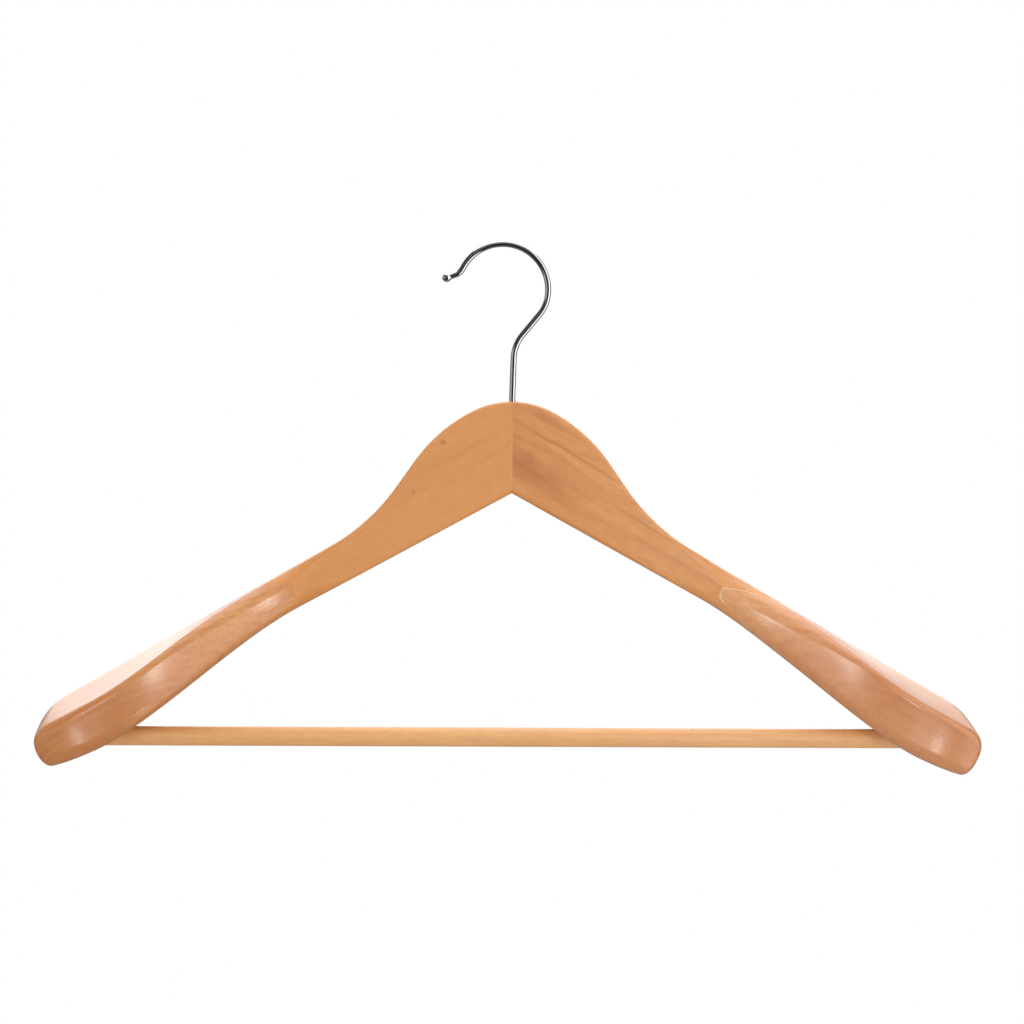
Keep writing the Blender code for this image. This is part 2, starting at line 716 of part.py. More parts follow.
def bar_brad(label, side, bar_height, pieces, parts, cutters, parent):
    """A brad driven in from behind, through the arm and the block into the bar."""
    along = BAR_END - BRAD_FROM_BAR_END
    face = back_face_at(side, along, bar_height)
    length = face - BAR_Y + BRAD_POINT_PAST_AXIS
    size = (BRAD_DIAMETER, BRAD_HEAD_DIAMETER, BRAD_HEAD_HEIGHT, length)
    place = (side * along, face, bar_height)
    steel = painted(f"{label}_brad_steel", STEEL, DRAWN, 1.0)
    nail = nail_profile(*size)
    turned(f"{label}_bar_brad", nail, place, FROM_REAR, steel, parts, parent, NAIL_SIDES)
    profile = nail_bore_profile(*size)
    bore = cutter(f"{label}_brad_bore", profile, place, FROM_REAR, cutters, parent, NAIL_SIDES)
    for piece in pieces:
        combine(piece, bore, "DIFFERENCE")


def frame_empty(name, place, collection, parent):
    empty = bpy.data.objects.new(name, None)
    empty.location = place
    empty.parent = parent
    collection.objects.link(empty)
    return empty


def build():
    clear_scene()
    parts = new_collection("jacket_hanger")
    cutters = new_collection("cutters")
    frame = frame_empty("hook_frame", (HOOK_SIDESTEP, 0.0, -CREST_HEIGHT), parts, None)
    swivel = frame_empty("hook_swivel", NECK_TOP, parts, frame)

    hook(parts, cutters, frame)

    left_wood = painted("left_arm_wood", PALE_WOOD, VARNISHED)
    left_arm = arm("left_arm", LEFT, left_wood, parts, swivel)
    left_block_wood = painted("left_block_wood", PALE_WOOD, VARNISHED)
    left_block = shoulder_block("left_shoulder_block", LEFT, left_block_wood, parts, swivel)
    right_wood = painted("right_arm_wood", RED_WOOD, VARNISHED)
    right_arm = arm("right_arm", RIGHT, right_wood, parts, swivel)
    right_block_wood = painted("right_block_wood", RED_WOOD, VARNISHED)
    right_block = shoulder_block("right_shoulder_block", RIGHT, right_block_wood, parts, swivel)

    arms = (left_arm, right_arm)
    bore_shank(arms, cutters, swivel)
    upper = -SHANK_DEPTH - DOWEL_BELOW_SHANK
    neck_dowel("upper", upper, arms, parts, cutters, swivel)
    neck_dowel("lower", upper - DOWEL_PITCH, arms, parts, cutters, swivel)
    retaining_pin(right_arm, parts, cutters, swivel)

    bar_height = underside_height(LEFT, ARM_REACH - BAR_ENTRY_FROM_END, BAR_Y)
    bar_place = (0.0, BAR_Y, bar_height)
    bar = trouser_bar(bar_place, (left_block, right_block), parts, cutters, swivel)
    left_pieces = (left_arm, left_block, bar)
    right_pieces = (right_arm, right_block, bar)
    bar_brad("left", LEFT, bar_height, left_pieces, parts, cutters, swivel)
    bar_brad("right", RIGHT, bar_height, right_pieces, parts, cutters, swivel)


build()
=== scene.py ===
# %% [markdown]
# # Wooden jacket hanger
#
# A broad-shouldered hanger for suits. Its body is two halves of a flat board that meet in a
# mitre under the hook, a block glued to the front of each half makes the shoulder deep, and a
# round bar for trousers runs from shoulder to shoulder. A bent wire hook turns in the neck.
#
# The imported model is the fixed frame: it says where each piece is and how the hook turns. This
# script gives every piece its fine surface and its finish, piece by piece.

# %% Load the frame
import json
import math

import bpy
import numpy as np
from mathutils import Matrix, Vector


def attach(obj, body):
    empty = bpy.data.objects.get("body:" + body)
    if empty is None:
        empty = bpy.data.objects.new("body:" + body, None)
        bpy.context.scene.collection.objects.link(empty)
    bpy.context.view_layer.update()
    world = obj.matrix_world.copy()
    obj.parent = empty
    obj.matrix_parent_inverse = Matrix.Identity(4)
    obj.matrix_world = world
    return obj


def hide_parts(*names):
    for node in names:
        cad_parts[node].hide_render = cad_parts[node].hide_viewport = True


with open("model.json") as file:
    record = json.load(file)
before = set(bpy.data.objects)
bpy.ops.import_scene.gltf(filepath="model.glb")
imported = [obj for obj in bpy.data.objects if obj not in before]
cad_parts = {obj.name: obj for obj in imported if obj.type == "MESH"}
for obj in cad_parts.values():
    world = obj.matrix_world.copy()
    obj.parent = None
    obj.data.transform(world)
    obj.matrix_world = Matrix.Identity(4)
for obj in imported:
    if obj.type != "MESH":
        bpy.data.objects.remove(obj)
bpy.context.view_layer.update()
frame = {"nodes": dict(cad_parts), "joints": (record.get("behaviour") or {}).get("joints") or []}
MM = 0.001
print("nodes:", sorted(frame["nodes"]))

# %% [markdown]
# ## Where everything is measured from
#
# The world's origin is the crest inside the hook, where the rail touches. A hanger is easier to
# draw from the point where the wire leaves the top of the neck, because both arms, the mitre and
# the swivel axis meet there. So every surface below is worked out round that point, in
# millimetres, and is moved to the world once, when it becomes a mesh.

# %% Neck top and sides
NECK_TOP = np.array(frame["joints"][0]["pos_m"]) / MM
LEFT = -1
RIGHT = 1
print("neck top in mm:", np.round(NECK_TOP, 2).tolist())

# %% [markdown]
# ## From a grid of points to a mesh
#
# Most pieces here are one skin wrapped round a piece, so they can be written as a function of
# two parameters: how far along the piece, and how far round it. numpy works out all points at
# once, and the faces follow from the grid's rows and columns. That is quicker than adding
# vertices one by one, and the number of rows and columns sets how fine the surface is.

# %% Skin helper
SHARP_EDGE = math.radians(35)


def wrapped_mesh(name, rings):
    """A closed mesh from an array (rings, points round, 3) in mm: neighbours in both directions
    make a quad, the last point of a ring joins its first, and flat caps close both ends."""
    count, around, _ = rings.shape
    index = np.arange(count * around).reshape(count, around)
    after = np.roll(index, -1, axis=1)
    quads = np.stack([index[:-1], after[:-1], after[1:], index[1:]], axis=-1).reshape(-1, 4)
    faces = quads.tolist() + [index[0, ::-1].tolist(), index[-1].tolist()]
    vertices = (rings.reshape(-1, 3) + NECK_TOP) * MM
    mesh = bpy.data.meshes.new(name)
    mesh.from_pydata(vertices.tolist(), [], faces)
    if signed_volume(mesh) < 0:
        mesh.flip_normals()
    mesh.shade_smooth()
    mesh.set_sharp_from_angle(angle=SHARP_EDGE)
    return mesh


def signed_volume(mesh):
    """Sum of a . (b x c) / 6 over the triangles: below zero when the faces point inwards."""
    mesh.calc_loop_triangles()
    corners = np.empty(len(mesh.loop_triangles) * 3, dtype=np.int64)
    mesh.loop_triangles.foreach_get("vertices", corners)
    places = np.empty(len(mesh.vertices) * 3)
    mesh.vertices.foreach_get("co", places)
    a, b, c = places.reshape(-1, 3)[corners].reshape(-1, 3, 3).transpose(1, 0, 2)
    return float(np.einsum("ij,ij->", a, np.cross(b, c)) / 6)


def piece(name, rings):
    """A named object for a skin, at the origin, with its place in its mesh."""
    mesh = wrapped_mesh(name, rings)
    made = bpy.data.objects.new(name, mesh)
    bpy.context.scene.collection.objects.link(made)
    print(f"{name}: {len(mesh.polygons)} faces, {signed_volume(mesh) * 1e6:.2f} ml")
    return made


# %% [markdown]
# ## The arm's outline
#
# Seen from the front, the top edge of an arm is a chain of arcs and straights: the round crown,
# the side of the neck, a short steep run, a hollow, and the straight arm. The lower edge is
# straight, swells down into the shoulder and lifts a little at the toe. Arcs keep the curve as
# fair as a template cut with a compass, which a freehand curve never is.

# %% Top and lower edge
CROWN_RADIUS = 42.0
CROWN_ANGLE = math.radians(27.4)
NECK_SIDE_RADIUS = 77.3
STEEPEST_ANGLE = math.radians(55.0)
STEEP_RUN = 9.0
HOLLOW_RADIUS = 98.5
ARM_SLOPE = math.radians(29.8)
ARM_REACH = 228.2
NECK_HEIGHT = 44.2
UNDERSIDE_TAPER = math.radians(1.1)
SWELLS = {LEFT: (103.0, 92.0, 15.5), RIGHT: (93.0, 100.0, 18.7)}
TOE_RUN = 44.0
TOE_RISE = 6.5


def smooth_step(t):
    """3 t^2 - 2 t^3 between 0 and 1: a ramp with level ends."""
    t = np.clip(t, 0.0, 1.0)
    return t * t * (3.0 - 2.0 * t)


def quarter_drop(distance, radius):
    """How far a quarter circle lies under its top at this distance from its edge: 1 - sqrt(1 - a^2),
    where a falls from 1 at the edge to 0 at one radius from it."""
    across = 1.0 - np.clip(distance / radius, 0.0, 1.0)
    return 1.0 - np.sqrt(1.0 - across * across)


def top_height(x):
    """Height of the top edge at x. Each arc starts where the last one ends, with the same slope:
    crown, side of the neck, steep straight, hollow, straight arm."""
    crown_end = CROWN_RADIUS * math.sin(CROWN_ANGLE)
    side_x = crown_end - NECK_SIDE_RADIUS * math.sin(CROWN_ANGLE)
    side_z = CROWN_RADIUS * (math.cos(CROWN_ANGLE) - 1.0) - NECK_SIDE_RADIUS * math.cos(CROWN_ANGLE)
    side_end = side_x + NECK_SIDE_RADIUS * math.sin(STEEPEST_ANGLE)
    side_foot = side_z + NECK_SIDE_RADIUS * math.cos(STEEPEST_ANGLE)
    hollow_start = side_end + STEEP_RUN
    hollow_x = hollow_start + HOLLOW_RADIUS * math.sin(STEEPEST_ANGLE)
    hollow_z = side_foot - STEEP_RUN * math.tan(STEEPEST_ANGLE) + HOLLOW_RADIUS * math.cos(STEEPEST_ANGLE)
    arm_start = hollow_x - HOLLOW_RADIUS * math.sin(ARM_SLOPE)
    arm_top = hollow_z - HOLLOW_RADIUS * math.cos(ARM_SLOPE)
    crown = np.sqrt(np.maximum(CROWN_RADIUS**2 - x**2, 0.0)) - CROWN_RADIUS
    side = side_z + np.sqrt(np.maximum(NECK_SIDE_RADIUS**2 - (x - side_x) ** 2, 0.0))
    steep = side_foot - (x - side_end) * math.tan(STEEPEST_ANGLE)
    hollow = hollow_z - np.sqrt(np.maximum(HOLLOW_RADIUS**2 - (x - hollow_x) ** 2, 0.0))
    arm = arm_top - (x - arm_start) * math.tan(ARM_SLOPE)
    joints = [x < crown_end, x < side_end, x < hollow_start, x < arm_start]
    return np.select(joints, [crown, side, steep, hollow], arm)


def bottom_height(side, x):
    """Height of the lower edge at x: a straight, minus the shoulder's smooth swell, plus the toe,
    which lifts with the square of the distance. SWELLS holds the start, run and depth of each
    side's swell, because the two shoulders were shaped by hand and differ a little."""
    straight = -NECK_HEIGHT - x * math.tan(ARM_SLOPE - UNDERSIDE_TAPER)
    toe = TOE_RISE * np.clip((x - ARM_REACH + TOE_RUN) / TOE_RUN, 0.0, None) ** 2
    start, run, depth = SWELLS[side]
    return straight - depth * smooth_step((x - start) / run) + toe


neck_height = float(top_height(np.array(0.0)) - bottom_height(LEFT, np.array(0.0)))
print("neck height:", round(neck_height, 1), "mm")

# %% [markdown]
# ## The arm's sections
#
# Cut across, an arm is a rounded block. Near the neck it is a flat board; towards the end the
# front swings forward, the top falls to the front so that a coat's shoulder lies on it, and the
# sections lean over. Board and block share the same sections, so they meet without a step, as two
# pieces of wood that were glued up first and sanded together after.

# %% Front, back and lean
SHOULDER_START = 99.0
SHOULDER_RUN = 100.0
BLOCK_DEPTH = 33.0
BACK_SWEEP = 5.0
BOARD_THICKNESS = 14.0
END_CORNER_LENGTH = 42.0
END_FLAT_WIDTH = 6.0
END_FRONT_LENGTH = 26.0
END_FRONT_DEPTH = 7.0
END_TILT = math.radians(22.0)
NECK_FRONT = -BOARD_THICKNESS / 2
END_CORNER_DEPTH = BOARD_THICKNESS + BLOCK_DEPTH - BACK_SWEEP - END_FRONT_DEPTH - END_FLAT_WIDTH
SETTLING_STEPS = 40


def shoulder_share(x):
    """0 on the neck and 1 near the end: how much of the shoulder's shape the arm has at x."""
    return smooth_step((x - SHOULDER_START) / SHOULDER_RUN)


def from_end(x):
    """Distance along the sloping arm from the section at x to its end."""
    return (ARM_REACH - x) / math.cos(ARM_SLOPE)


def section_frame(side, x):
    """(lean, height) of each section. Its foot is back under the arm by height times sin(lean), so
    the height is found by taking it again and again until it settles."""
    lean = END_TILT * smooth_step(x / SHOULDER_START)
    height = top_height(x) - bottom_height(side, x)
    for _ in range(SETTLING_STEPS):
        foot = x - height * np.sin(lean)
        height = (top_height(x) - bottom_height(side, foot)) / np.cos(lean)
    return lean, height


def front_depth(x):
    """Depth of the front face: the neck's face, brought forward by the block. It curves back to
    the end along a quarter of an ellipse."""
    corner = END_FRONT_DEPTH * quarter_drop(from_end(x), END_FRONT_LENGTH)
    return NECK_FRONT - BLOCK_DEPTH * shoulder_share(x) + corner


def back_depth(x):
    """Depth of the back face, which sweeps forward a little and is rounded off at the end."""
    corner = END_CORNER_DEPTH * quarter_drop(from_end(x), END_CORNER_LENGTH)
    return -NECK_FRONT - BACK_SWEEP * shoulder_share(x) - corner


arm_stations = np.array([0.0, SHOULDER_START, ARM_REACH - END_CORNER_LENGTH, ARM_REACH])
print("depth from front to back at four stations:",
      np.round(back_depth(arm_stations) - front_depth(arm_stations), 1).tolist(), "mm")

# %% [markdown]
# ## Rounded edges
#
# A section is written as two curves, its top and its underside, both as a distance down the
# section at each depth y. Each edge is a quarter circle. Its radius grows from the board's to the
# shoulder's, and where the shoulder begins the front's two radii are a share of the arm's height:
# the front is sanded round there, so the joint comes out of the wood as a curve and not as a
# straight line. The end of the arm is rounded off with quarter circles too.

# %% Section curves
TOP_FALL = 8.4
UNDERSIDE_RISE = 3.0
BOARD_EDGE_RADIUS = 2.0
SHOULDER_TOP_RADIUS = 3.0
SHOULDER_FRONT_RADIUS = 6.0
SHOULDER_BACK_RADIUS = 3.0
END_TOP_FRONT_RADIUS = 7.5
END_TOP_BACK_RADIUS = 16.0
END_BOTTOM_RADIUS = 3.5
LEAST_SECTION_HEIGHT = 1.2
FLARE_ROUND_START = 84.0
FLARE_ROUND_RISE = 26.0
FLARE_FADE_START = 116.0
FLARE_FADE_RUN = 60.0
FLARE_TOP_SHARES = {LEFT: 0.4, RIGHT: 0.54}
FLARE_BOTTOM_SHARE = 0.34
LARGEST_FRONT_SHARE = 0.75


def flare_share(x):
    """How round the front is: 0 on the neck, 1 where the shoulder begins, 0 again further out."""
    grown = smooth_step((x - FLARE_ROUND_START) / FLARE_ROUND_RISE)
    return grown * (1.0 - smooth_step((x - FLARE_FADE_START) / FLARE_FADE_RUN))


def grown_radius(x, shoulder_radius):
    """An edge's radius grows from the board's to the shoulder's."""
    return BOARD_EDGE_RADIUS + (shoulder_radius - BOARD_EDGE_RADIUS) * shoulder_share(x)


def rear_radius(x):
    """The back edges' radius, at most half the depth."""
    return np.minimum(grown_radius(x, SHOULDER_BACK_RADIUS), (back_depth(x) - front_depth(x)) / 2)


def front_radius(side, x, shoulder_radius, flare_height_share):
    """A front edge's radius: where the shoulder begins it is a share of the arm's height."""
    _, height = section_frame(side, x)
    grown = grown_radius(x, shoulder_radius)
    rounded = grown + (flare_height_share * height - grown) * flare_share(x)
    return np.minimum(rounded, (back_depth(x) - front_depth(x)) * LARGEST_FRONT_SHARE)


def section_curves(side, x, y):
    """(top, underside) as distances down the section at depth y: straight falls and rises from
    front to back, with a quarter circle taken off at each edge and at the end of the arm. They
    are kept apart where the rounded top and underside of the end would cross."""
    _, height = section_frame(side, x)
    front, back = front_depth(x), back_depth(x)
    backwards = (y - front) / (back - front)
    share = shoulder_share(x) ** 2
    top_front = front_radius(side, x, SHOULDER_TOP_RADIUS, FLARE_TOP_SHARES[side])
    bottom_front = front_radius(side, x, SHOULDER_FRONT_RADIUS, FLARE_BOTTOM_SHARE)
    rear = rear_radius(x)
    rear_drop = rear * quarter_drop(back - y, rear)
    end_radius = END_TOP_FRONT_RADIUS + (END_TOP_BACK_RADIUS - END_TOP_FRONT_RADIUS) * backwards
    end_top = end_radius * quarter_drop(from_end(x), end_radius)
    end_foot = END_BOTTOM_RADIUS * quarter_drop(from_end(x), END_BOTTOM_RADIUS)
    top = TOP_FALL * share * (1.0 - backwards) + end_top + rear_drop
    top = top + top_front * quarter_drop(y - front, top_front)
    foot = height - UNDERSIDE_RISE * share * backwards - end_foot - rear_drop
    foot = foot - bottom_front * quarter_drop(y - front, bottom_front)
    middle = (top + foot) / 2
    top = np.minimum(top, middle - LEAST_SECTION_HEIGHT / 2)
    foot = np.maximum(foot, middle + LEAST_SECTION_HEIGHT / 2)
    return top, foot


for side_name, side in (("left", LEFT), ("right", RIGHT)):
    widest = front_radius(side, arm_stations, SHOULDER_TOP_RADIUS, FLARE_TOP_SHARES[side]).max()
    print(side_name, "front edge: largest radius", round(float(widest), 1), "mm")

# %% [markdown]
# ## Crowned faces and bowed ends
#
# A sanded face is never quite flat. It falls back a little towards its edges, and that keeps a
# highlight to a spot instead of a stripe across the whole face. The flat ends of the arms bulge
# in the same way. Both are plain parabolas, added to the sections above.

# %% Crown and bow
FACE_CROWN = 0.55
CROWN_START = 62.0
CROWN_RUN = 50.0
END_BOW = 1.5


def face_crown(side, x, y, distance):
    """How far a point is pushed back: the square of its distance from the face's middle, most at
    the front and not at all at the back."""
    _, height = section_frame(side, x)
    from_middle = 2.0 * distance / height - 1.0
    forwards = np.clip((back_depth(x) - y) / (back_depth(x) - front_depth(x)), 0.0, 1.0)
    return FACE_CROWN * smooth_step((x - CROWN_START) / CROWN_RUN) * from_middle**2 * forwards**2


def end_bow(side, x, distance):
    """The end isn't flat: its sections bulge outwards by 4 v (1 - v), v down the section."""
    _, height = section_frame(side, x)
    share = np.clip(distance / height, 0.0, 1.0)
    return END_BOW * 4.0 * share * (1.0 - share) * smooth_step(1.0 - from_end(x) / END_CORNER_LENGTH)


# %% [markdown]
# ## Boards and blocks as skins
#
# The first parameter is the station along the arm, the second goes round the section: over the
# top, down the back, under the arm and up the front. The stations crowd together at the rounded
# end and the points crowd together at the edges, because that is where the surface turns
# fastest. A subdivided box could give a like shape, but its edges would wander off the outline.
# A glue plane parts the board from the block in front of it.

# %% Skin of a board or a block
EDGE_STEPS = 9
FACE_STEPS = 16
SIDE_STEPS = 26
LARGEST_EDGE_SHARE = 0.4
NECK_STATIONS = 110
SHOULDER_STATIONS = 90
END_STATIONS = 50
GLUE_PLANES = {LEFT: NECK_FRONT - 0.9, RIGHT: NECK_FRONT - 0.35}
GLUE_LINE = 0.03
FEATHER = 0.06
MITRE_GAP = 0.02
FINE_STEPS = 4000


def depths_across(side, x, front, back):
    """Depths (stations, points) from front to back: a cosine crowds them over both edges."""
    bends = 1.0 - np.cos(np.linspace(0.0, math.pi / 2, EDGE_STEPS + 1))
    flat = np.linspace(0.0, 1.0, FACE_STEPS + 1)[1:-1]
    width = back - front
    round_front = front_radius(side, x, SHOULDER_FRONT_RADIUS, FLARE_TOP_SHARES[side])
    edge = np.minimum(round_front, width * LARGEST_EDGE_SHARE)
    rear = np.minimum(rear_radius(x), width * LARGEST_EDGE_SHARE)
    over_edge = front + edge * bends
    over_rear = back - rear * bends[::-1]
    between = (front + edge) + (width - edge - rear) * flat
    return np.concatenate([over_edge, between, over_rear], axis=1)


def arm_skin(side, stations, front, back):
    """Rings of an arm between two depths. A point at distance d down a section that leans by a has
    x = station - d sin a and z = top - d cos a."""
    x = stations[:, None]
    y = depths_across(side, x, front[:, None], back[:, None])
    top, foot = section_curves(side, x, y)
    down = np.linspace(0.0, 1.0, SIDE_STEPS + 1)[1:-1]
    rear_face = top[:, -1:] + (foot[:, -1:] - top[:, -1:]) * down
    front_face = foot[:, :1] + (top[:, :1] - foot[:, :1]) * down
    distance = np.concatenate([top, rear_face, foot[:, ::-1], front_face], axis=1)
    ones = np.ones_like(rear_face)
    depth = np.concatenate([y, y[:, -1:] * ones, y[:, ::-1], y[:, :1] * ones], axis=1)
    lean, _ = section_frame(side, x)
    along = side * (x - distance * np.sin(lean) + end_bow(side, x, distance))
    height = top_height(x) - distance * np.cos(lean)
    return np.stack([along, depth + face_crown(side, x, depth, distance), height], axis=-1)


def crowded(first, last, count):
    """Stations from first to last that crowd together at the last one, as a sine does."""
    return first + (last - first) * np.sin(np.linspace(0.0, math.pi / 2, count))


def board_skin(side):
    """The board of one arm, from the mitre to where its rounded back corner meets the glue plane."""
    fine = np.linspace(SHOULDER_START, ARM_REACH, FINE_STEPS)
    last = fine[back_depth(fine) - GLUE_PLANES[side] > FEATHER][-1]
    end_start = ARM_REACH - END_CORNER_LENGTH
    stations = np.concatenate([
        np.linspace(MITRE_GAP / 2, SHOULDER_START, NECK_STATIONS)[:-1],
        np.linspace(SHOULDER_START, end_start, SHOULDER_STATIONS)[:-1],
        crowded(end_start, last, END_STATIONS),
    ])
    front = np.maximum(GLUE_PLANES[side], front_depth(stations))
    return arm_skin(side, stations, front, back_depth(stations))


def block_skin(side):
    """The block on the front of the arm, from its feather edge to the rounded end."""
    fine = np.linspace(SHOULDER_START, ARM_REACH, FINE_STEPS)
    behind = GLUE_PLANES[side] - GLUE_LINE
    first = fine[behind - front_depth(fine) > FEATHER][0]
    end_start = ARM_REACH - END_CORNER_LENGTH
    stations = np.concatenate([
        np.linspace(first, end_start, SHOULDER_STATIONS + NECK_STATIONS // 2)[:-1],
        crowded(end_start, ARM_REACH, END_STATIONS),
    ])
    back = np.minimum(behind, back_depth(stations))
    return arm_skin(side, stations, front_depth(stations), back)


left_board = piece("left_board", board_skin(LEFT))
right_board = piece("right_board", board_skin(RIGHT))
left_block = piece("left_block", block_skin(LEFT))
right_block = piece("right_block", block_skin(RIGHT))

# %% [markdown]
# ## Round pieces
#
# The bar, the dowels, the brads and the pin are turned: a profile of radius against distance,
# carried round an axis. The radius may also depend on the angle, which is how a dowel gets its
# flutes, the grooves that let air and glue out of a blind hole.

# %% Turned skin
ALONG_X = np.array([[0.0, 0.0, 1.0], [0.0, 1.0, 0.0], [-1.0, 0.0, 0.0]])
INTO_FRONT = np.array([[1.0, 0.0, 0.0], [0.0, 0.0, -1.0], [0.0, 1.0, 0.0]])
SOFTENING_ROWS = 8


def turned_skin(radii, distances, place, axes, sides):
    """Rings (distance, angle): the point (r cos t, r sin t, d), turned by axes and set in place.
    radii may be one value for each ring, or one for each ring and angle."""
    angle = np.linspace(0.0, 2.0 * math.pi, sides, endpoint=False)
    radius = np.broadcast_to(np.asarray(radii, dtype=float).reshape(len(distances), -1),
                             (len(distances), sides))
    along = np.broadcast_to(np.asarray(distances, dtype=float)[:, None], radius.shape)
    points = np.stack([radius * np.cos(angle), radius * np.sin(angle), along], axis=-1)
    return points @ axes.T + np.asarray(place)


def rounded_rod(diameter, length, softening, count):
    """(radii, distances) of a rod whose ends are eased by a quarter circle of radius softening.
    count is its number of rings between them."""
    bend = np.linspace(0.0, math.pi / 2, SOFTENING_ROWS)
    inset = softening * (1.0 - np.sin(bend))
    start = softening * (1.0 - np.cos(bend))
    middle = np.linspace(softening, length - softening, count)[1:-1]
    distances = np.concatenate([start, middle, length - start[::-1]]) - length / 2
    radii = np.concatenate([diameter / 2 - inset, np.full(len(middle), diameter / 2),
                            diameter / 2 - inset[::-1]])
    return radii, distances


# %% [markdown]
# ## Trouser bar
#
# The bar is one plain rod, let into a blind hole in each shoulder. Its height follows from where
# it meets the underside of the block, so the same section curves give its place.

# %% Bar
BAR_DIAMETER = 9.2
BAR_BEHIND_BLOCK_FACE = 23.0
BAR_ENTRY_FROM_END = 39.2
BAR_END_FROM_END = 20.0
BAR_SOFTENING = 0.8
BAR_CLEARANCE = 0.25
BAR_ROWS = 120
BAR_SIDES = 48
bar_depth = NECK_FRONT - BLOCK_DEPTH + BAR_BEHIND_BLOCK_FACE
bar_end = ARM_REACH - BAR_END_FROM_END


def underside_height(side, x, y):
    """Height of the arm's underside at one place: the station is moved out until the foot of its
    leaning section lies at x."""
    station = np.array(float(x))
    for _ in range(SETTLING_STEPS):
        lean, _ = section_frame(side, station)
        _, foot = section_curves(side, station, y)
        station = x + foot * np.sin(lean)
    return float(top_height(station) - foot * np.cos(lean))


bar_height = underside_height(LEFT, ARM_REACH - BAR_ENTRY_FROM_END, bar_depth)
bar_place = (0.0, bar_depth, bar_height)
bar_radii, bar_distances = rounded_rod(BAR_DIAMETER, 2 * bar_end, BAR_SOFTENING, BAR_ROWS)
bar_skin = turned_skin(bar_radii, bar_distances, bar_place, ALONG_X, BAR_SIDES)
trouser_bar = piece("trouser_bar_rod", bar_skin)
print("bar height:", round(bar_height, 2), "mm")

# %% [markdown]
# ## Hook
#
# The hook is one wire: straight up out of the neck, a bend to the right, a curl of three
# quarters of a circle back over the top, and a small lip that ends in a ball. A wire is best
# described by its curvature, because that is what the bending machine sets: each stretch has a
# length and a radius. Adding up the curvature gives the heading, and adding up the heading
# gives the path.

# %% Path of the wire
WIRE_DIAMETER = 3.0
HOOK_RADIUS = 21.9
HOOK_RISE = 54.5
HOOK_SIDESTEP = 5.0
THROAT_ANGLE = math.radians(50.7)
THROAT_RADIUS = 17.3
THROAT_TURN = math.radians(27.3)
SHANK_BEND_RADIUS = 18.5
SHANK_LEAN = math.radians(1.5)
LEAN_RADIUS = 60.0
LEAN_HEIGHT = 2.0
HOOK_SWEEP = math.radians(165.2)
LIP_BEND_RADIUS = 6.3
LIP_TURN = math.radians(43.0)
LIP_LENGTH = 4.6
BALL_DIAMETER = 4.2
SHANK_DEPTH = 20.0
PATH_STEP = 0.02


def wire_stretches():
    """(length, turn) of each stretch, foot to ball. A positive turn is to the left. The leaning
    shank and the straight throat cross in one point, and each ends short of it by the length
    that the bend needs, r tan(turn / 2)."""
    inset = HOOK_RADIUS - THROAT_RADIUS
    joined = THROAT_ANGLE + THROAT_TURN
    heading = math.pi / 2 - SHANK_LEAN
    throat_x = inset * math.sin(joined) + THROAT_RADIUS * math.sin(THROAT_ANGLE) - HOOK_SIDESTEP
    throat_z = HOOK_RISE - inset * math.cos(joined) - THROAT_RADIUS * math.cos(THROAT_ANGLE)
    across = throat_x - LEAN_RADIUS * (1.0 - math.cos(SHANK_LEAN))
    up = throat_z - LEAN_HEIGHT - LEAN_RADIUS * math.sin(SHANK_LEAN)
    turn = heading - THROAT_ANGLE
    bend_length = SHANK_BEND_RADIUS * math.tan(turn / 2)
    shank = (up * math.cos(THROAT_ANGLE) - across * math.sin(THROAT_ANGLE)) / math.sin(turn)
    throat = (across * math.sin(heading) - up * math.cos(heading)) / math.sin(turn)
    return [
        (SHANK_DEPTH + LEAN_HEIGHT, 0.0),
        (LEAN_RADIUS * SHANK_LEAN, -SHANK_LEAN),
        (shank - bend_length, 0.0),
        (SHANK_BEND_RADIUS * turn, -turn),
        (throat - bend_length, 0.0),
        (THROAT_RADIUS * THROAT_TURN, THROAT_TURN),
        (HOOK_RADIUS * HOOK_SWEEP, HOOK_SWEEP),
        (LIP_BEND_RADIUS * LIP_TURN, -LIP_TURN),
        (LIP_LENGTH, 0.0),
    ]


def wire_path():
    """(s, x, z, heading): the heading is linear in each stretch, and the path is the running sum
    of its cosine and sine."""
    lengths, turns = np.array(wire_stretches()).T
    stops = np.concatenate([[0.0], np.cumsum(lengths)])
    headings = math.pi / 2 + np.concatenate([[0.0], np.cumsum(turns)])
    s = np.linspace(0.0, stops[-1], int(stops[-1] / PATH_STEP))
    heading = np.interp(s, stops, headings)
    step = np.diff(s)
    x = np.concatenate([[0.0], np.cumsum((np.cos(heading[1:]) + np.cos(heading[:-1])) / 2 * step)])
    z = np.concatenate([[0.0], np.cumsum((np.sin(heading[1:]) + np.sin(heading[:-1])) / 2 * step)])
    return s, x, z - SHANK_DEPTH, heading


# %% [markdown]
# ## Wire, groove and ball as one skin
#
# The wire's radius is a function of the distance along it: a groove near the foot, where the
# pin holds it, the plain wire, and at the tip the circle of the ball, sqrt(R^2 - d^2). Taking
# the larger of wire and ball joins them without a seam, and a soft maximum gives the small
# fillet that the upset ball has on the real hook.

# %% Hook skin
GROOVE_DEPTH = 0.6
GROOVE_WIDTH = 2.6
GROOVE_FROM_END = 4.0
GROOVE_WALL = 0.05
FOOT_SOFTENING = 0.3
NECK_FILLET = 0.35
HOOK_SIDES = 40
HOOK_STEP = 0.45
SHAFT_START = 1.0
FOOT_ROWS = 6
NECK_ROWS = 16
BALL_ROWS = 44


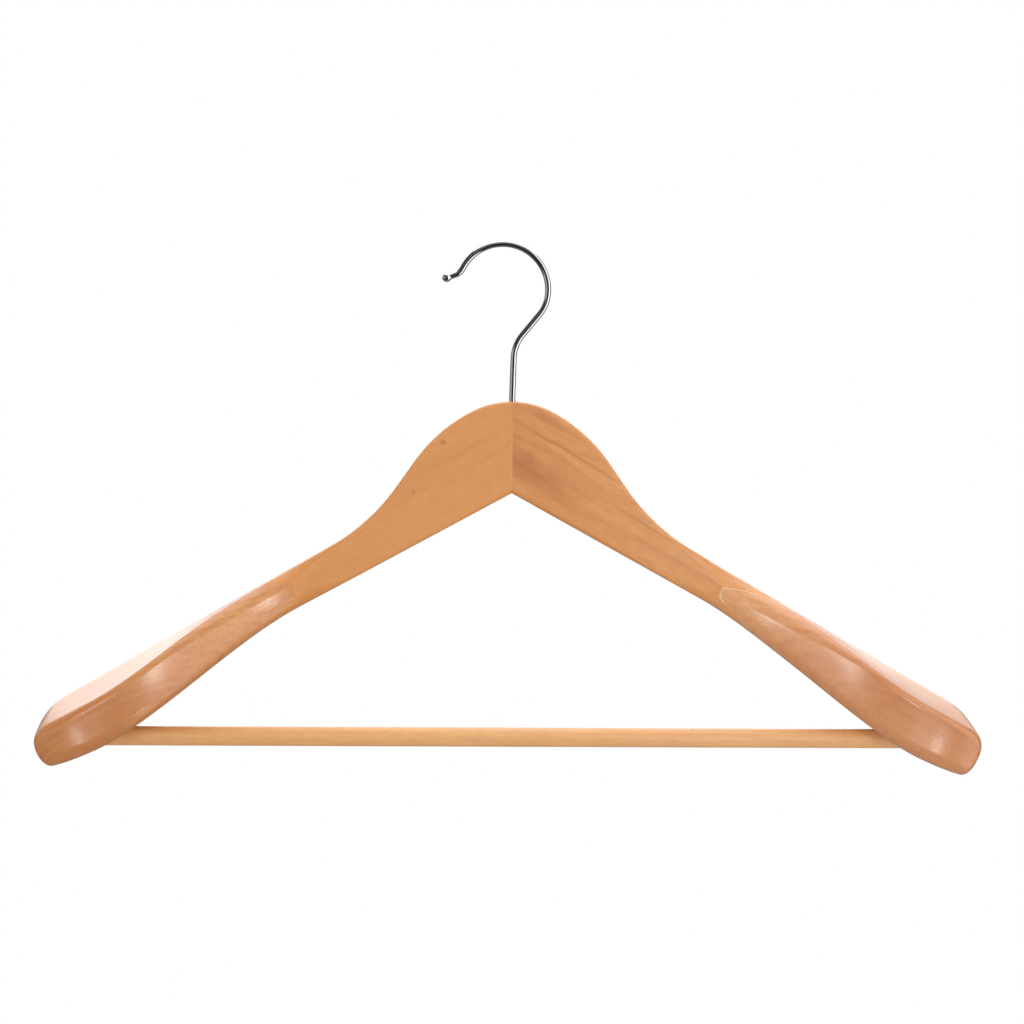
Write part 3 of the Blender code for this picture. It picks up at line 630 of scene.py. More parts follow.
def hook_radius(s, length):
    """Radius at distance s: the foot eased off, the groove cut in, then wire and ball joined by
    the soft maximum (a + b + sqrt((a - b)^2 + k^2)) / 2, which is never under either."""
    wire = np.full_like(s, WIRE_DIAMETER / 2)
    wire = wire - FOOT_SOFTENING * quarter_drop(s, FOOT_SOFTENING)
    beside = np.abs(s - GROOVE_FROM_END) - GROOVE_WIDTH / 2
    wire = wire - GROOVE_DEPTH * (1.0 - np.clip(beside / GROOVE_WALL, 0.0, 1.0))
    ball = np.sqrt(np.maximum((BALL_DIAMETER / 2) ** 2 - (s - length) ** 2, 0.0))
    near = s < length
    joined = (wire + ball + np.sqrt((wire - ball) ** 2 + NECK_FILLET**2 * (ball > 0))) / 2
    return np.where(near, np.minimum(joined, np.maximum(np.maximum(wire, ball), BALL_DIAMETER / 2)), ball)


def hook_skin():
    """Circles across the path: centre + r (cos t n + sin t y), where n is square to the heading.
    Past the end of the path the circles run on along the last heading to close the ball."""
    s, x, z, heading = wire_path()
    length = s[-1]
    groove = GROOVE_FROM_END + np.array([-1, 1])[:, None] * (GROOVE_WIDTH / 2 + np.array([0.0, GROOVE_WALL]))
    foot = FOOT_SOFTENING * (1.0 - np.cos(np.linspace(0.0, math.pi / 2, FOOT_ROWS)))
    shaft = np.arange(SHAFT_START, length - BALL_DIAMETER, HOOK_STEP)
    ball = length - BALL_DIAMETER / 2 * np.cos(np.linspace(0.0, math.pi, BALL_ROWS))
    neck = np.linspace(length - BALL_DIAMETER, length - BALL_DIAMETER / 2, NECK_ROWS)
    rows = np.unique(np.round(np.concatenate([foot, groove.ravel(), shaft, neck, ball[:-1]]), 5))
    beyond = np.maximum(rows - length, 0.0)
    at = np.minimum(rows, length)
    turn = np.interp(at, s, heading)
    centre_x = np.interp(at, s, x) + beyond * np.cos(turn)
    centre_z = np.interp(at, s, z) + beyond * np.sin(turn)
    radius = hook_radius(rows, length)
    angle = np.linspace(0.0, 2.0 * math.pi, HOOK_SIDES, endpoint=False)
    outwards = radius[:, None] * np.cos(angle)
    return np.stack([
        centre_x[:, None] - outwards * np.sin(turn)[:, None],
        radius[:, None] * np.sin(angle),
        centre_z[:, None] + outwards * np.cos(turn)[:, None],
    ], axis=-1)


hook_wire = piece("hook_wire", hook_skin())
print("wire length:", round(sum(length for length, _ in wire_stretches()), 1), "mm")

# %% [markdown]
# ## Dowels across the mitre
#
# Two fluted dowels pin the halves together inside the neck. They show only when the hanger is
# taken apart. The flutes are a cosine of the angle, raised to leave flat lands between narrow
# grooves.

# %% Dowels
DOWEL_DIAMETER = 5.0
DOWEL_LENGTH = 30.0
DOWEL_SOFTENING = 0.6
DOWEL_BELOW_SHANK = 6.5
DOWEL_PITCH = 9.5
DOWEL_CLEARANCE = 0.15
DOWEL_ROWS = 24
FLUTES = 14
FLUTE_DEPTH = 0.22
FLUTE_SIDES = FLUTES * 10


def dowel_skin(height):
    """A rod whose radius is R - depth * cos(n t / 2)^8: n narrow grooves round it."""
    radii, distances = rounded_rod(DOWEL_DIAMETER, DOWEL_LENGTH, DOWEL_SOFTENING, DOWEL_ROWS)
    angle = np.linspace(0.0, 2.0 * math.pi, FLUTE_SIDES, endpoint=False)
    fluted = radii[:, None] - FLUTE_DEPTH * np.cos(FLUTES * angle / 2) ** 8
    return turned_skin(fluted, distances, (0.0, 0.0, height), ALONG_X, FLUTE_SIDES)


upper_dowel_height = -SHANK_DEPTH - DOWEL_BELOW_SHANK
lower_dowel_height = upper_dowel_height - DOWEL_PITCH
upper_dowel = piece("upper_dowel", dowel_skin(upper_dowel_height))
lower_dowel = piece("lower_dowel", dowel_skin(lower_dowel_height))

# %% [markdown]
# ## Pin and brads
#
# A nail is turned too. The pin stands beside the shank, in its groove, so the hook turns but
# can't be pulled out. The brads go in from behind and keep the bar from turning. All of them are
# driven in until their heads are just under the wood, where the head's round rim catches light.

# %% Nails
NAIL_SINK = 0.3
NAIL_CLEARANCE = 0.2
NAIL_POINT_SHARE = 0.25
HEAD_HEIGHT = 0.6
HEAD_CROWN = 0.15
CROWN_SHARES = np.linspace(0.06, 0.92, 9)
RIM_SHARES = np.array([0.98, 1.0, 1.0, 0.98])
RIM_DEPTHS = np.array([HEAD_CROWN * 1.2, HEAD_CROWN * 2, HEAD_HEIGHT * 0.8, HEAD_HEIGHT])
PIN_DIAMETER = 1.8
PIN_HEAD_DIAMETER = 3.2
PIN_FRONT_COVER = 3.0
SHANK_CLEARANCE = 0.25
BRAD_DIAMETER = 1.5
BRAD_HEAD_DIAMETER = 2.8
BRAD_FROM_BAR_END = 6.0
BRAD_POINT_PAST_AXIS = 2.0
NAIL_SIDES = 32


def nail_skin(diameter, head_diameter, length, place):
    """Head with a low crown, which falls with the square of the distance from its middle, shank,
    and a point. It is turned round the y axis and driven forwards from the wood's face."""
    crown_r = CROWN_SHARES * head_diameter / 2
    crown_d = NAIL_SINK + HEAD_CROWN * CROWN_SHARES**2
    rim_r = head_diameter / 2 * RIM_SHARES
    rim_d = NAIL_SINK + RIM_DEPTHS
    body_r = diameter / 2 * np.array([1.0, 1.0, 1.0, NAIL_POINT_SHARE])
    body_d = np.array([NAIL_SINK + HEAD_HEIGHT, length / 2, length - diameter, length])
    radii = np.concatenate([crown_r, rim_r, body_r])
    distances = np.concatenate([crown_d, rim_d, body_d])
    return turned_skin(radii, distances, place, INTO_FRONT, NAIL_SIDES)


def back_face_at(side, x, z):
    """Depth of the arm's back face at one place, seen from behind."""
    station = np.array(float(x))
    for _ in range(SETTLING_STEPS):
        lean, _ = section_frame(side, station)
        distance = (top_height(station) - z) / np.cos(lean)
        station = x + distance * np.sin(lean) - end_bow(side, station, distance)
    return float(back_depth(station))


def brad_nail(side):
    """(diameter, head, length, place) of the brad in one arm, driven in from its back face."""
    along = bar_end - BRAD_FROM_BAR_END
    back = back_face_at(side, along, bar_height)
    length = back - bar_depth + BRAD_POINT_PAST_AXIS
    return BRAD_DIAMETER, BRAD_HEAD_DIAMETER, length, (side * along, back, bar_height)


beside_shank = WIRE_DIAMETER / 2 - GROOVE_DEPTH + PIN_DIAMETER / 2 + SHANK_CLEARANCE
pin_place = (beside_shank, -NECK_FRONT, GROOVE_FROM_END - SHANK_DEPTH)
pin_nail = (PIN_DIAMETER, PIN_HEAD_DIAMETER, BOARD_THICKNESS - PIN_FRONT_COVER, pin_place)
retaining_pin = piece("retaining_pin", nail_skin(*pin_nail))
left_brad = piece("left_brad", nail_skin(*brad_nail(LEFT)))
right_brad = piece("right_brad", nail_skin(*brad_nail(RIGHT)))

# %% [markdown]
# ## Holes
#
# Each hole is its fastener's own profile, a little larger, taken out of the wood with a Boolean
# modifier. The skins are closed and clean, so the fast MANIFOLD solver suits. The result becomes
# the piece's mesh.

# %% Drill helper
UPRIGHT = np.eye(3)
BORE_OVERSHOOT = 3.0
HOLE_SIDES = 40
HOLE_ROWS = 3
HOLE_LEDGE = 0.01


def hole(name, radii, distances, place, axes):
    """A turned cutter for the Boolean."""
    mesh = wrapped_mesh(name, turned_skin(radii, distances, place, axes, HOLE_SIDES))
    made = bpy.data.objects.new(name, mesh)
    bpy.context.scene.collection.objects.link(made)
    return made


def nail_hole(name, diameter, head_diameter, length, place):
    """The nail's own profile with a little room all round, open at the wood's face."""
    radius = diameter / 2 + NAIL_CLEARANCE
    head = head_diameter / 2 + NAIL_CLEARANCE
    head_end = NAIL_SINK + HEAD_HEIGHT + NAIL_CLEARANCE
    distances = np.array([-BORE_OVERSHOOT, head_end, head_end + HOLE_LEDGE, length + NAIL_CLEARANCE])
    return hole(name, np.array([head, head, radius, radius]), distances, place, INTO_FRONT)


def drill(made, holes):
    """Takes the holes out of a piece, one after another, and keeps the finished mesh."""
    for cutter in holes:
        cut = made.modifiers.new(cutter.name, "BOOLEAN")
        cut.operation = "DIFFERENCE"
        cut.solver = "MANIFOLD"
        cut.object = cutter
    bpy.context.view_layer.update()
    finished = bpy.data.meshes.new_from_object(made.evaluated_get(bpy.context.evaluated_depsgraph_get()))
    made.modifiers.clear()
    made.data = finished
    finished.shade_smooth()
    finished.set_sharp_from_angle(angle=SHARP_EDGE)
    print(f"{made.name}: {len(holes)} holes, {signed_volume(finished) * 1e6:.2f} ml left")


# %% [markdown]
# ## Drill the wood
#
# The halves share the bore for the hook's shank and the two dowel holes, since the mitre runs
# through them. One long rod makes the blind holes for the bar's two ends, and a brad's hole goes
# through board, block and bar at once. The cutters are thrown away at the end.

# %% Drill the wood
shank_hole = hole("shank_hole", [WIRE_DIAMETER / 2 + SHANK_CLEARANCE] * 2,
                  np.array([-SHANK_DEPTH - SHANK_CLEARANCE, BORE_OVERSHOOT]), (0.0, 0.0, 0.0), UPRIGHT)
dowel_radii, dowel_distances = rounded_rod(DOWEL_DIAMETER + 2 * DOWEL_CLEARANCE,
                                           DOWEL_LENGTH + 2 * DOWEL_CLEARANCE, DOWEL_SOFTENING, HOLE_ROWS)
upper_hole = hole("upper_hole", dowel_radii, dowel_distances, (0.0, 0.0, upper_dowel_height), ALONG_X)
lower_hole = hole("lower_hole", dowel_radii, dowel_distances, (0.0, 0.0, lower_dowel_height), ALONG_X)
pin_hole = nail_hole("pin_hole", *pin_nail)
left_brad_hole = nail_hole("left_brad_hole", *brad_nail(LEFT))
right_brad_hole = nail_hole("right_brad_hole", *brad_nail(RIGHT))
socket_radii, socket_distances = rounded_rod(BAR_DIAMETER + 2 * BAR_CLEARANCE,
                                             2 * (bar_end + BAR_CLEARANCE), BAR_SOFTENING, HOLE_ROWS)
bar_sockets = hole("bar_sockets", socket_radii, socket_distances, bar_place, ALONG_X)
drill(left_board, [shank_hole, upper_hole, lower_hole, left_brad_hole])
drill(right_board, [shank_hole, upper_hole, lower_hole, pin_hole, right_brad_hole])
drill(left_block, [bar_sockets, left_brad_hole])
drill(right_block, [bar_sockets, right_brad_hole])
drill(trouser_bar, [left_brad_hole, right_brad_hole])
for cutter in (shank_hole, upper_hole, lower_hole, pin_hole, left_brad_hole, right_brad_hole, bar_sockets):
    bpy.data.objects.remove(cutter)

# %% [markdown]
# ## Node helpers for the finishes
#
# A finish is a small network: a place in space goes in, a few patterns are worked out there, and
# they set the colour, the roughness and the bump. These helpers add one node each and return
# its output, so that a finish below reads from top to bottom like a recipe.

# %% Node helpers
def linear(red, green, blue):
    """A colour as a picture shows it (0 to 255) in the linear values that a shader takes."""
    shown = np.array([red, green, blue]) / 255.0
    light = np.where(shown <= 0.04045, shown / 12.92, ((shown + 0.055) / 1.055) ** 2.4)
    return (*light.tolist(), 1.0)


def feed(node, inputs):
    """Fills a node's inputs, by name or number: an output is linked, a plain value is set."""
    for key, value in inputs.items():
        if isinstance(value, bpy.types.NodeSocket):
            node.id_data.links.new(value, node.inputs[key])
        else:
            node.inputs[key].default_value = value


def add(kind, inputs, **settings):
    """One node of a kind, in the tree of the outputs that feed it. Gives its own outputs."""
    tree = next(value.id_data for value in inputs.values() if isinstance(value, bpy.types.NodeSocket))
    node = tree.nodes.new("ShaderNode" + kind)
    for key, value in settings.items():
        setattr(node, key, value)
    feed(node, inputs)
    return node.outputs


def placed(vector, location=(0, 0, 0), rotation=(0, 0, 0), scale=(1, 1, 1)):
    """The place, scaled, turned and moved."""
    turned = {"Vector": vector, "Location": location, "Rotation": rotation, "Scale": scale}
    return add("Mapping", turned)["Vector"]


def part_of(vector, axis):
    """The X, Y or Z of a place."""
    return add("SeparateXYZ", {0: vector})[axis]


def noise(vector, scale, detail=2.0, roughness=0.5):
    """A soft random pattern from 0 to 1, mostly near 0.5."""
    pattern = {"Vector": vector, "Scale": scale, "Detail": detail, "Roughness": roughness}
    return add("TexNoise", pattern)["Fac"]


def grainy(grain, lengthwise, across, detail=2.0, roughness=0.5):
    """Noise that is drawn out along the grain: its repeats to the metre along and across."""
    return noise(placed(grain, scale=(lengthwise, across, across)), 1.0, detail, roughness)


def maths(operation, first, second=0.0, third=0.0):
    return add("Math", {0: first, 1: second, 2: third}, operation=operation)["Value"]


def product(first, second):
    return maths("MULTIPLY", first, second)


def stretch(value, low, high, to_low=0.0, to_high=1.0):
    """Value from low..high, carried by a smooth step to to_low..to_high and held there."""
    limits = {"Value": value, "From Min": low, "From Max": high, "To Min": to_low, "To Max": to_high}
    return add("MapRange", limits, interpolation_type="SMOOTHSTEP")["Result"]


def blended(factor, first, second, blend="MIX"):
    """The first colour, with this factor of the second blended in."""
    colours = {"Factor": factor, "A": first, "B": second}
    return add("Mix", colours, data_type="RGBA", blend_type=blend)["Result"]


def stained(colour, mask, strength, tint):
    """The colour, with the tint laid over it where the mask is, at this strength."""
    return blended(product(mask, strength), colour, tint)


def bumped(height, strength, distance):
    """The normal of a surface with a fine relief."""
    relief = {"Strength": strength, "Distance": distance, "Height": height}
    return add("Bump", relief)["Normal"]


def new_finish(name):
    """(material, its shader, the object's own coordinates)."""
    material = bpy.data.materials.new(name)
    material.use_nodes = True
    nodes = material.node_tree.nodes
    return material, nodes["Principled BSDF"], nodes.new("ShaderNodeTexCoord").outputs["Object"]


# %% [markdown]
# ## Growth rings and streaks
#
# The rings are cylinders round the pith, the middle of the tree, which lies outside the plank.
# Because the pattern fills space, the surface cuts it as a saw would: long lines on the flat neck,
# arches where the shoulder swings forward. Lines painted on the surface would break at every edge
# instead. The grain's own axes have X along it, and the pith lies on X.

# %% Rings and streaks
RING_WANDER = 2.2


def grain_lines(grain, spacing):
    """Growth rings: the distance from the pith over the spacing, moved by a slow noise. Each ring
    darkens slowly and ends sharply, and another noise lets some fade out."""
    wander = grainy(grain, 9.0, 42.0, 2.0, 0.45)
    y = part_of(grain, "Y")
    z = part_of(grain, "Z")
    across = maths("SQRT", maths("MULTIPLY_ADD", y, y, product(z, z)))
    rings = maths("MULTIPLY_ADD", wander, RING_WANDER, maths("DIVIDE", across, spacing))
    phase = maths("FRACT", rings)
    late = product(stretch(phase, 0.3, 0.9), stretch(phase, 1.0, 0.9))
    age = grainy(grain, 5.0, 110.0)
    return product(late, stretch(age, 0.35, 0.7, 0.1, 1.0))


def streak_mask(grain, height, width, start, fade):
    """A soft dark streak along the grain: 1 on its line and 0 at its width, where the line wanders
    a little, and it fades out over a length of the grain from its start."""
    wander = grainy(grain, 38.0, 60.0)
    above = maths("SUBTRACT", part_of(grain, "Z"), height)
    away = maths("MULTIPLY_ADD", wander, 2.4 * width, above)
    off = maths("ABSOLUTE", maths("SUBTRACT", away, 1.2 * width))
    further = maths("ABSOLUTE", maths("SUBTRACT", part_of(grain, "X"), start))
    return product(stretch(off, width, 0.0), stretch(further, fade, 0.0))


# %% [markdown]
# ## Knots and glue lines
#
# A pin knot is the start of a twig, cut across: a few soft steps of the distance from its middle,
# made uneven by a noise. A glue line is a soft step too, along one axis, between two heights.

# %% Knots and glue lines
SEAM_FADE = 0.003


def knot(place, colour, knot_x, knot_z, radius):
    """A pin knot: a dark heart in a pale eye, with a reddish ring that is thicker on one side."""
    flat = placed(place, scale=(1.0, 0.0, 1.0))
    uneven = noise(place, 900.0, 2.0)

    def from_point(x, z):
        away = add("VectorMath", {0: flat, 1: (x, 0.0, z)}, operation="DISTANCE")["Value"]
        return maths("MULTIPLY_ADD", uneven, radius * 0.7, away)

    ring = from_point(knot_x, knot_z)
    from_heart = from_point(knot_x + radius * 0.5, knot_z - radius * 0.6)
    heart = stretch(from_heart, radius * 1.05, radius * 0.55)
    rim = product(stretch(ring, radius * 1.95, radius * 1.55),
                  stretch(ring, radius * 0.9, radius * 1.3))
    halo = stretch(ring, radius * 4.5, radius * 1.5)
    colour = stained(colour, halo, 0.25, linear(198, 128, 80))
    colour = stained(colour, rim, 0.7, linear(160, 88, 44))
    return stained(colour, heart, 0.85, linear(150, 72, 32))


def glue_line(place, colour, axis, start, full, glue, strength, low, high):
    """A joint that shows as a thin line: the glue's colour grows from start to full along one axis,
    and shows between the heights low and high."""
    line = stretch(part_of(place, axis), start, full, 0.0, strength)
    height = part_of(place, "Z")
    shown = product(stretch(height, low - SEAM_FADE, low),
                    stretch(height, high + SEAM_FADE, high))
    return stained(colour, line, shown, linear(*glue))


# %% [markdown]
# ## Varnished wood
#
# The wood is pale and close-grained, under a warm satin varnish. Its figure has several scales: a
# slow drift of tone across a plank, growth rings, soft dark streaks, fine fibres along the grain,
# short rays across it and tiny pores. A tint that grows from end to end adds painted light and
# painted shade. The varnish is the shader's coat. It mirrors softly head-on and more sharply at a
# grazing angle, which a Layer Weight node gives it.

# %% Wood finish
GRAZING_ROUGHNESS = 0.22


def varnished_wood(name, shades, turn, pith, spacing, ringing, streaks=(), rays=0.0, knots=(),
                   painted_shading=None, seam=None, figure=0.14, coat=0.6, coat_roughness=0.4):
    """shades are the pale, middle and deep colour of the wood. turn is the grain's slope about the
    y axis in degrees with a small tilt about z, and pith is the pith's place across the grain in
    metres. spacing is the width of a growth ring, and ringing how strongly the rings show. streaks
    are (height, width, start, fade, strength), measured along and across the grain from the pith.
    rays is the strength of the short lines across the grain, knots are (x, z, radius) on the front
    face. The painted shading is (from, to, tint): a tint that grows along the grain, painted shade
    where it darkens and painted light where it pales. seam is a glue line (see glue_line), and
    figure is the strength of the fine fibres. coat is the varnish's weight."""
    material, shader, place = new_finish(name)
    pale, mid, deep = (linear(*shade) for shade in shades)
    slope, tilt = turn
    grain = placed(place, (0.0, -pith[0], -pith[1]), (0.0, math.radians(slope), math.radians(tilt)))

    drift = grainy(grain, 7.0, 24.0, 3.0, 0.55)
    bands = grainy(grain, 9.0, 190.0, 3.0, 0.6)
    fibres = grainy(grain, 40.0, 900.0, 3.0, 0.6)
    threads = grainy(grain, 90.0, 2600.0, 2.0, 0.6)
    mottle = grainy(grain, 150.0, 420.0, 2.0, 0.6)
    pores = stretch(grainy(grain, 420.0, 3600.0, 1.0), 0.66, 0.74)

    colour = blended(stretch(drift, 0.3, 0.7), pale, mid)
    colour = stained(colour, grain_lines(grain, spacing), ringing, deep)
    colour = blended(stretch(bands, 0.5, 0.72, 0.0, 0.22), colour, deep)
    colour = blended(stretch(bands, 0.5, 0.3, 0.0, 0.3), colour, pale)
    # Painted light and shade: a tint multiplied in along the grain, darker towards the blocks' ends, paler
    # towards the right.
    if painted_shading:
        start, full, tint = painted_shading
        share = stretch(part_of(grain, "X"), start, full)
        colour = blended(share, colour, (*tint, 1.0), "MULTIPLY")
    for height, width, start, fade, strength in streaks:
        colour = stained(colour, streak_mask(grain, height, width, start, fade), strength, deep)
    colour = blended(stretch(fibres, 0.38, 0.72, 0.0, figure), colour, deep)
    colour = blended(stretch(threads, 0.4, 0.7, 0.0, figure), colour, deep)
    colour = blended(stretch(mottle, 0.35, 0.7, 0.0, figure * 1.4), colour, deep)
    if rays:
        dashes = noise(placed(grain, scale=(1300.0, 900.0, 330.0)), 1.0)
        patch = stretch(grainy(grain, 45.0, 60.0), 0.46, 0.62, 0.15, 1.0)
        shown = product(stretch(dashes, 0.5, 0.66), patch)
        colour = stained(colour, shown, rays, deep)
    colour = stained(colour, pores, 0.14, linear(150, 88, 52))
    if seam:
        colour = glue_line(place, colour, *seam)
    for knot_x, knot_z, radius in knots:
        colour = knot(place, colour, knot_x, knot_z, radius)

    if coat_roughness > GRAZING_ROUGHNESS:
        facing = material.node_tree.nodes.new("ShaderNodeLayerWeight").outputs["Facing"]
        coat_roughness = stretch(facing, 0.55, 0.85, coat_roughness, GRAZING_ROUGHNESS)
    relief = maths("SUBTRACT", maths("MULTIPLY_ADD", fibres, 0.7, threads), pores)
    feed(shader, {
        "Base Color": colour,
        "Roughness": stretch(fibres, 0.3, 0.7, 0.34, 0.46),
        "Normal": bumped(relief, 0.18, 0.00006),
        "IOR": 1.45,
        "Coat Weight": coat,
        "Coat Roughness": coat_roughness,
        "Coat Normal": bumped(fibres, 0.3, 0.00005),
        "Coat IOR": 1.5,
    })
    print(name + ":", len(material.node_tree.nodes), "nodes")
    return material


# %% [markdown]
# ## The five woods of the hanger
#
# The left half is plainer and yellower, the right half redder with a few darker streaks along the
# arm, as two planks from different trees. Each block is from a plank of its own, with its pith in
# front of the shoulder, which gives faint arches on the flare, and a painted shade darkens it
# towards the end. A painted light makes the right board's arm and the bar's right end paler, and
# the right block's paler shades are partly painted light too. The bar is the palest.

# %% Woods
FEATHER_LINE = (0.17, 0.12)


def in_world(across, up):
    """A place on the neck's front face, in mm from the neck top, in the world's metres."""
    return (across + NECK_TOP[0]) * MM, (up + NECK_TOP[2]) * MM


def streak(turn, pith, across, up, width, fade, strength):
    """A streak through the same kind of place: its height above the pith, across the grain, and
    its start along it come from the same turn as the Mapping node's."""
    x, z = in_world(across, up)
    slope = math.radians(turn[0])
    along = x * math.cos(slope) + z * math.sin(slope)
    height = z * math.cos(slope) - x * math.sin(slope) - pith[1]
    return height, width * MM, along, fade * MM, strength


def feather_seam(side, glue, strength, low, high):
    """The glue that shines through the block's feather edge, where the wood is thinnest."""
    start, full = (float(GLUE_PLANES[side] - depth) * MM for depth in FEATHER_LINE)
    return "Y", start, full, glue, strength, low, high


LEFT_TURN = (math.degrees(ARM_SLOPE), 2.0)
RIGHT_TURN = (-math.degrees(ARM_SLOPE), -3.0)
LEFT_PITH = (0.07, -0.11)
RIGHT_PITH = (0.05, -0.13)
left_knots = [(*in_world(-33.5, -19.8), 0.00085), (*in_world(-47.5, -43.6), 0.00045)]
right_knots = [(*in_world(21.8, -18.8), 0.0003)]
left_streaks = [streak(LEFT_TURN, LEFT_PITH, -122.0, -92.0, 1.3, 16.0, 0.5)]
right_streaks = [
    streak(RIGHT_TURN, RIGHT_PITH, 22.0, -21.0, 1.5, 60.0, 0.5),
    streak(RIGHT_TURN, RIGHT_PITH, 6.0, -30.0, 9.0, 42.0, 0.6),
    streak(RIGHT_TURN, RIGHT_PITH, 15.0, -8.0, 2.2, 14.0, 0.2),
    streak(RIGHT_TURN, RIGHT_PITH, 70.0, -62.0, 1.2, 50.0, 0.3),
]
mitre_seam = ("X", 0.0046, 0.005, (236, 182, 122), 0.4, -0.113, -0.09)
left_wood = varnished_wood(
    "left_board_wood", [(212, 143, 74), (206, 135, 67), (186, 110, 48)], LEFT_TURN, LEFT_PITH,
    spacing=0.0062, ringing=0.16, streaks=left_streaks, knots=left_knots, seam=mitre_seam,
    figure=0.1, coat_roughness=0.5)
# The right board's tint along the grain is painted light: it pales the arm away from the neck.
right_wood = varnished_wood(
    "right_board_wood", [(222, 154, 87), (211, 140, 72), (172, 86, 32)], RIGHT_TURN, RIGHT_PITH,
    spacing=0.0078, ringing=0.22, streaks=right_streaks, knots=right_knots,
    painted_shading=(0.09, 0.15, (1.04, 1.1, 1.3)), figure=0.1, coat_roughness=0.5)
# The blocks' tints along the grain are painted shade: they darken each outer flare towards the end.
left_block_wood = varnished_wood(
    "left_block_wood", [(215, 154, 98), (206, 142, 85), (178, 108, 58)], (LEFT_TURN[0], 0.0),
    (-0.052, -0.125), spacing=0.0031, ringing=0.5, rays=0.3, painted_shading=(-0.18, -0.28, (0.82, 0.72, 0.64)),
    seam=feather_seam(LEFT, (150, 90, 50), 0.4, -0.156, -0.14), figure=0.22, coat_roughness=0.2)
# The right block's shades are paler than the left block's: partly its own wood, partly painted light.
right_block_wood = varnished_wood(
    "right_block_wood", [(230, 172, 121), (222, 159, 107), (192, 122, 74)], (RIGHT_TURN[0], 0.0),
    (-0.058, -0.118), spacing=0.0042, ringing=0.35, rays=0.5, painted_shading=(0.165, 0.24, (0.81, 0.7, 0.65)),
    seam=feather_seam(RIGHT, (246, 214, 176), 0.45, -0.17, -0.14), figure=0.22, coat_roughness=0.2)
# The bar's tint along the grain is painted light: it pales the bar towards its right end.
bar_wood = varnished_wood(
    "bar_wood", [(231, 174, 115), (223, 162, 103), (204, 136, 82)], (0.0, 1.5), (0.06, -0.2),
    spacing=0.003, ringing=0.25, painted_shading=(-0.15, 0.15, (1.05, 1.11, 1.2)), coat=0.3)

# %% [markdown]
# ## Bare dowel wood
#
# A dowel is bought as bare rod and glued in, so it has the fibres and pores but no varnish: a
# rough, dry surface with no coat.

# %% Dowel finish
def bare_dowel_wood():
    material, shader, place = new_finish("bare_dowel_wood")
    fibres = grainy(place, 60.0, 1500.0, 3.0, 0.6)
    flecks = grainy(place, 300.0, 3000.0, 1.0)
    colour = blended(stretch(fibres, 0.3, 0.7), linear(222, 188, 142), linear(198, 158, 112))
    colour = blended(stretch(flecks, 0.62, 0.75, 0.0, 0.4), colour, linear(150, 104, 66))
    roughness = stretch(fibres, 0.3, 0.7, 0.6, 0.75)
    feed(shader, {"Base Color": colour, "Roughness": roughness, "Normal": bumped(fibres, 0.5, 0.0001)})
    return material


dowel_wood = bare_dowel_wood()
print(dowel_wood.name + ":", len(dowel_wood.node_tree.nodes), "nodes")

# %% [markdown]
# ## Chrome and nail steel
#
# The hook is polished chrome: nearly a mirror, with a faint haze and traces of handling that only
# show where a reflection breaks. Its Specular Tint is grey, so that the wire stays grey at its
# edges, where most metals turn white. The nails are plain drawn steel, greyer and rougher, with
# tool marks on their heads.

# %% Metal finishes
def polished_chrome():
    material, shader, place = new_finish("polished_chrome")
    haze = noise(place, 240.0, 3.0, 0.6)
    smears = noise(placed(place, scale=(60.0, 60.0, 25.0)), 1.0, 2.0)
    colour = blended(stretch(smears, 0.35, 0.7), linear(206, 207, 209), linear(192, 194, 197))
    feed(shader, {
        "Base Color": colour,
        "Metallic": 1.0,
        "Roughness": stretch(haze, 0.3, 0.75, 0.02, 0.07),
        "Specular Tint": (0.3, 0.3, 0.31, 1.0),
    })
    return material


def drawn_steel():
    material, shader, place = new_finish("drawn_steel")
    lines = noise(placed(place, scale=(2200.0, 60.0, 2200.0)), 1.0, 3.0, 0.6)
    stain = noise(place, 900.0, 3.0, 0.6)
    colour = blended(stretch(stain, 0.4, 0.7), linear(168, 166, 163), linear(128, 124, 119))
    feed(shader, {
        "Base Color": colour,
        "Metallic": 1.0,
        "Roughness": stretch(lines, 0.3, 0.7, 0.3, 0.5),
        "Normal": bumped(lines, 0.3, 0.00004),
    })
    return material


chrome = polished_chrome()
nail_steel = drawn_steel()
for metal in (chrome, nail_steel):
    print(metal.name + ":", len(metal.node_tree.nodes), "nodes")

# %% [markdown]
# ## Fit the pieces to the frame
#
# Every skin stands for one node of the imported model, rides on that node's body, and takes the
# finish listed beside it, next to the name of the record's slot. Only the hook is on a body of its own.

# %% Ride, replace, finish
FITTED = [
    (left_board, "hanger", "left_arm", left_wood, "pale_wood"),
    (right_board, "hanger", "right_arm", right_wood, "red_wood"),
    (left_block, "hanger", "left_shoulder_block", left_block_wood, "pale_wood"),
    (right_block, "hanger", "right_shoulder_block", right_block_wood, "red_wood"),
    (trouser_bar, "hanger", "trouser_bar", bar_wood, "bar_wood"),
    (upper_dowel, "hanger", "upper_neck_dowel", dowel_wood, "dowel_wood"),
    (lower_dowel, "hanger", "lower_neck_dowel", dowel_wood, "dowel_wood"),
    (retaining_pin, "hanger", "hook_retaining_pin", nail_steel, "nail_steel"),
    (left_brad, "hanger", "left_bar_brad", nail_steel, "nail_steel"),
    (right_brad, "hanger", "right_bar_brad", nail_steel, "nail_steel"),
    (hook_wire, "hook", "hook", chrome, "chrome"),
]
for made, body, node_name, finish, slot in FITTED:
    made.data.materials.clear()
    made.data.materials.append(finish)
    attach(made, body)
    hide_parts(node_name)
print(len(FITTED), "pieces fitted")

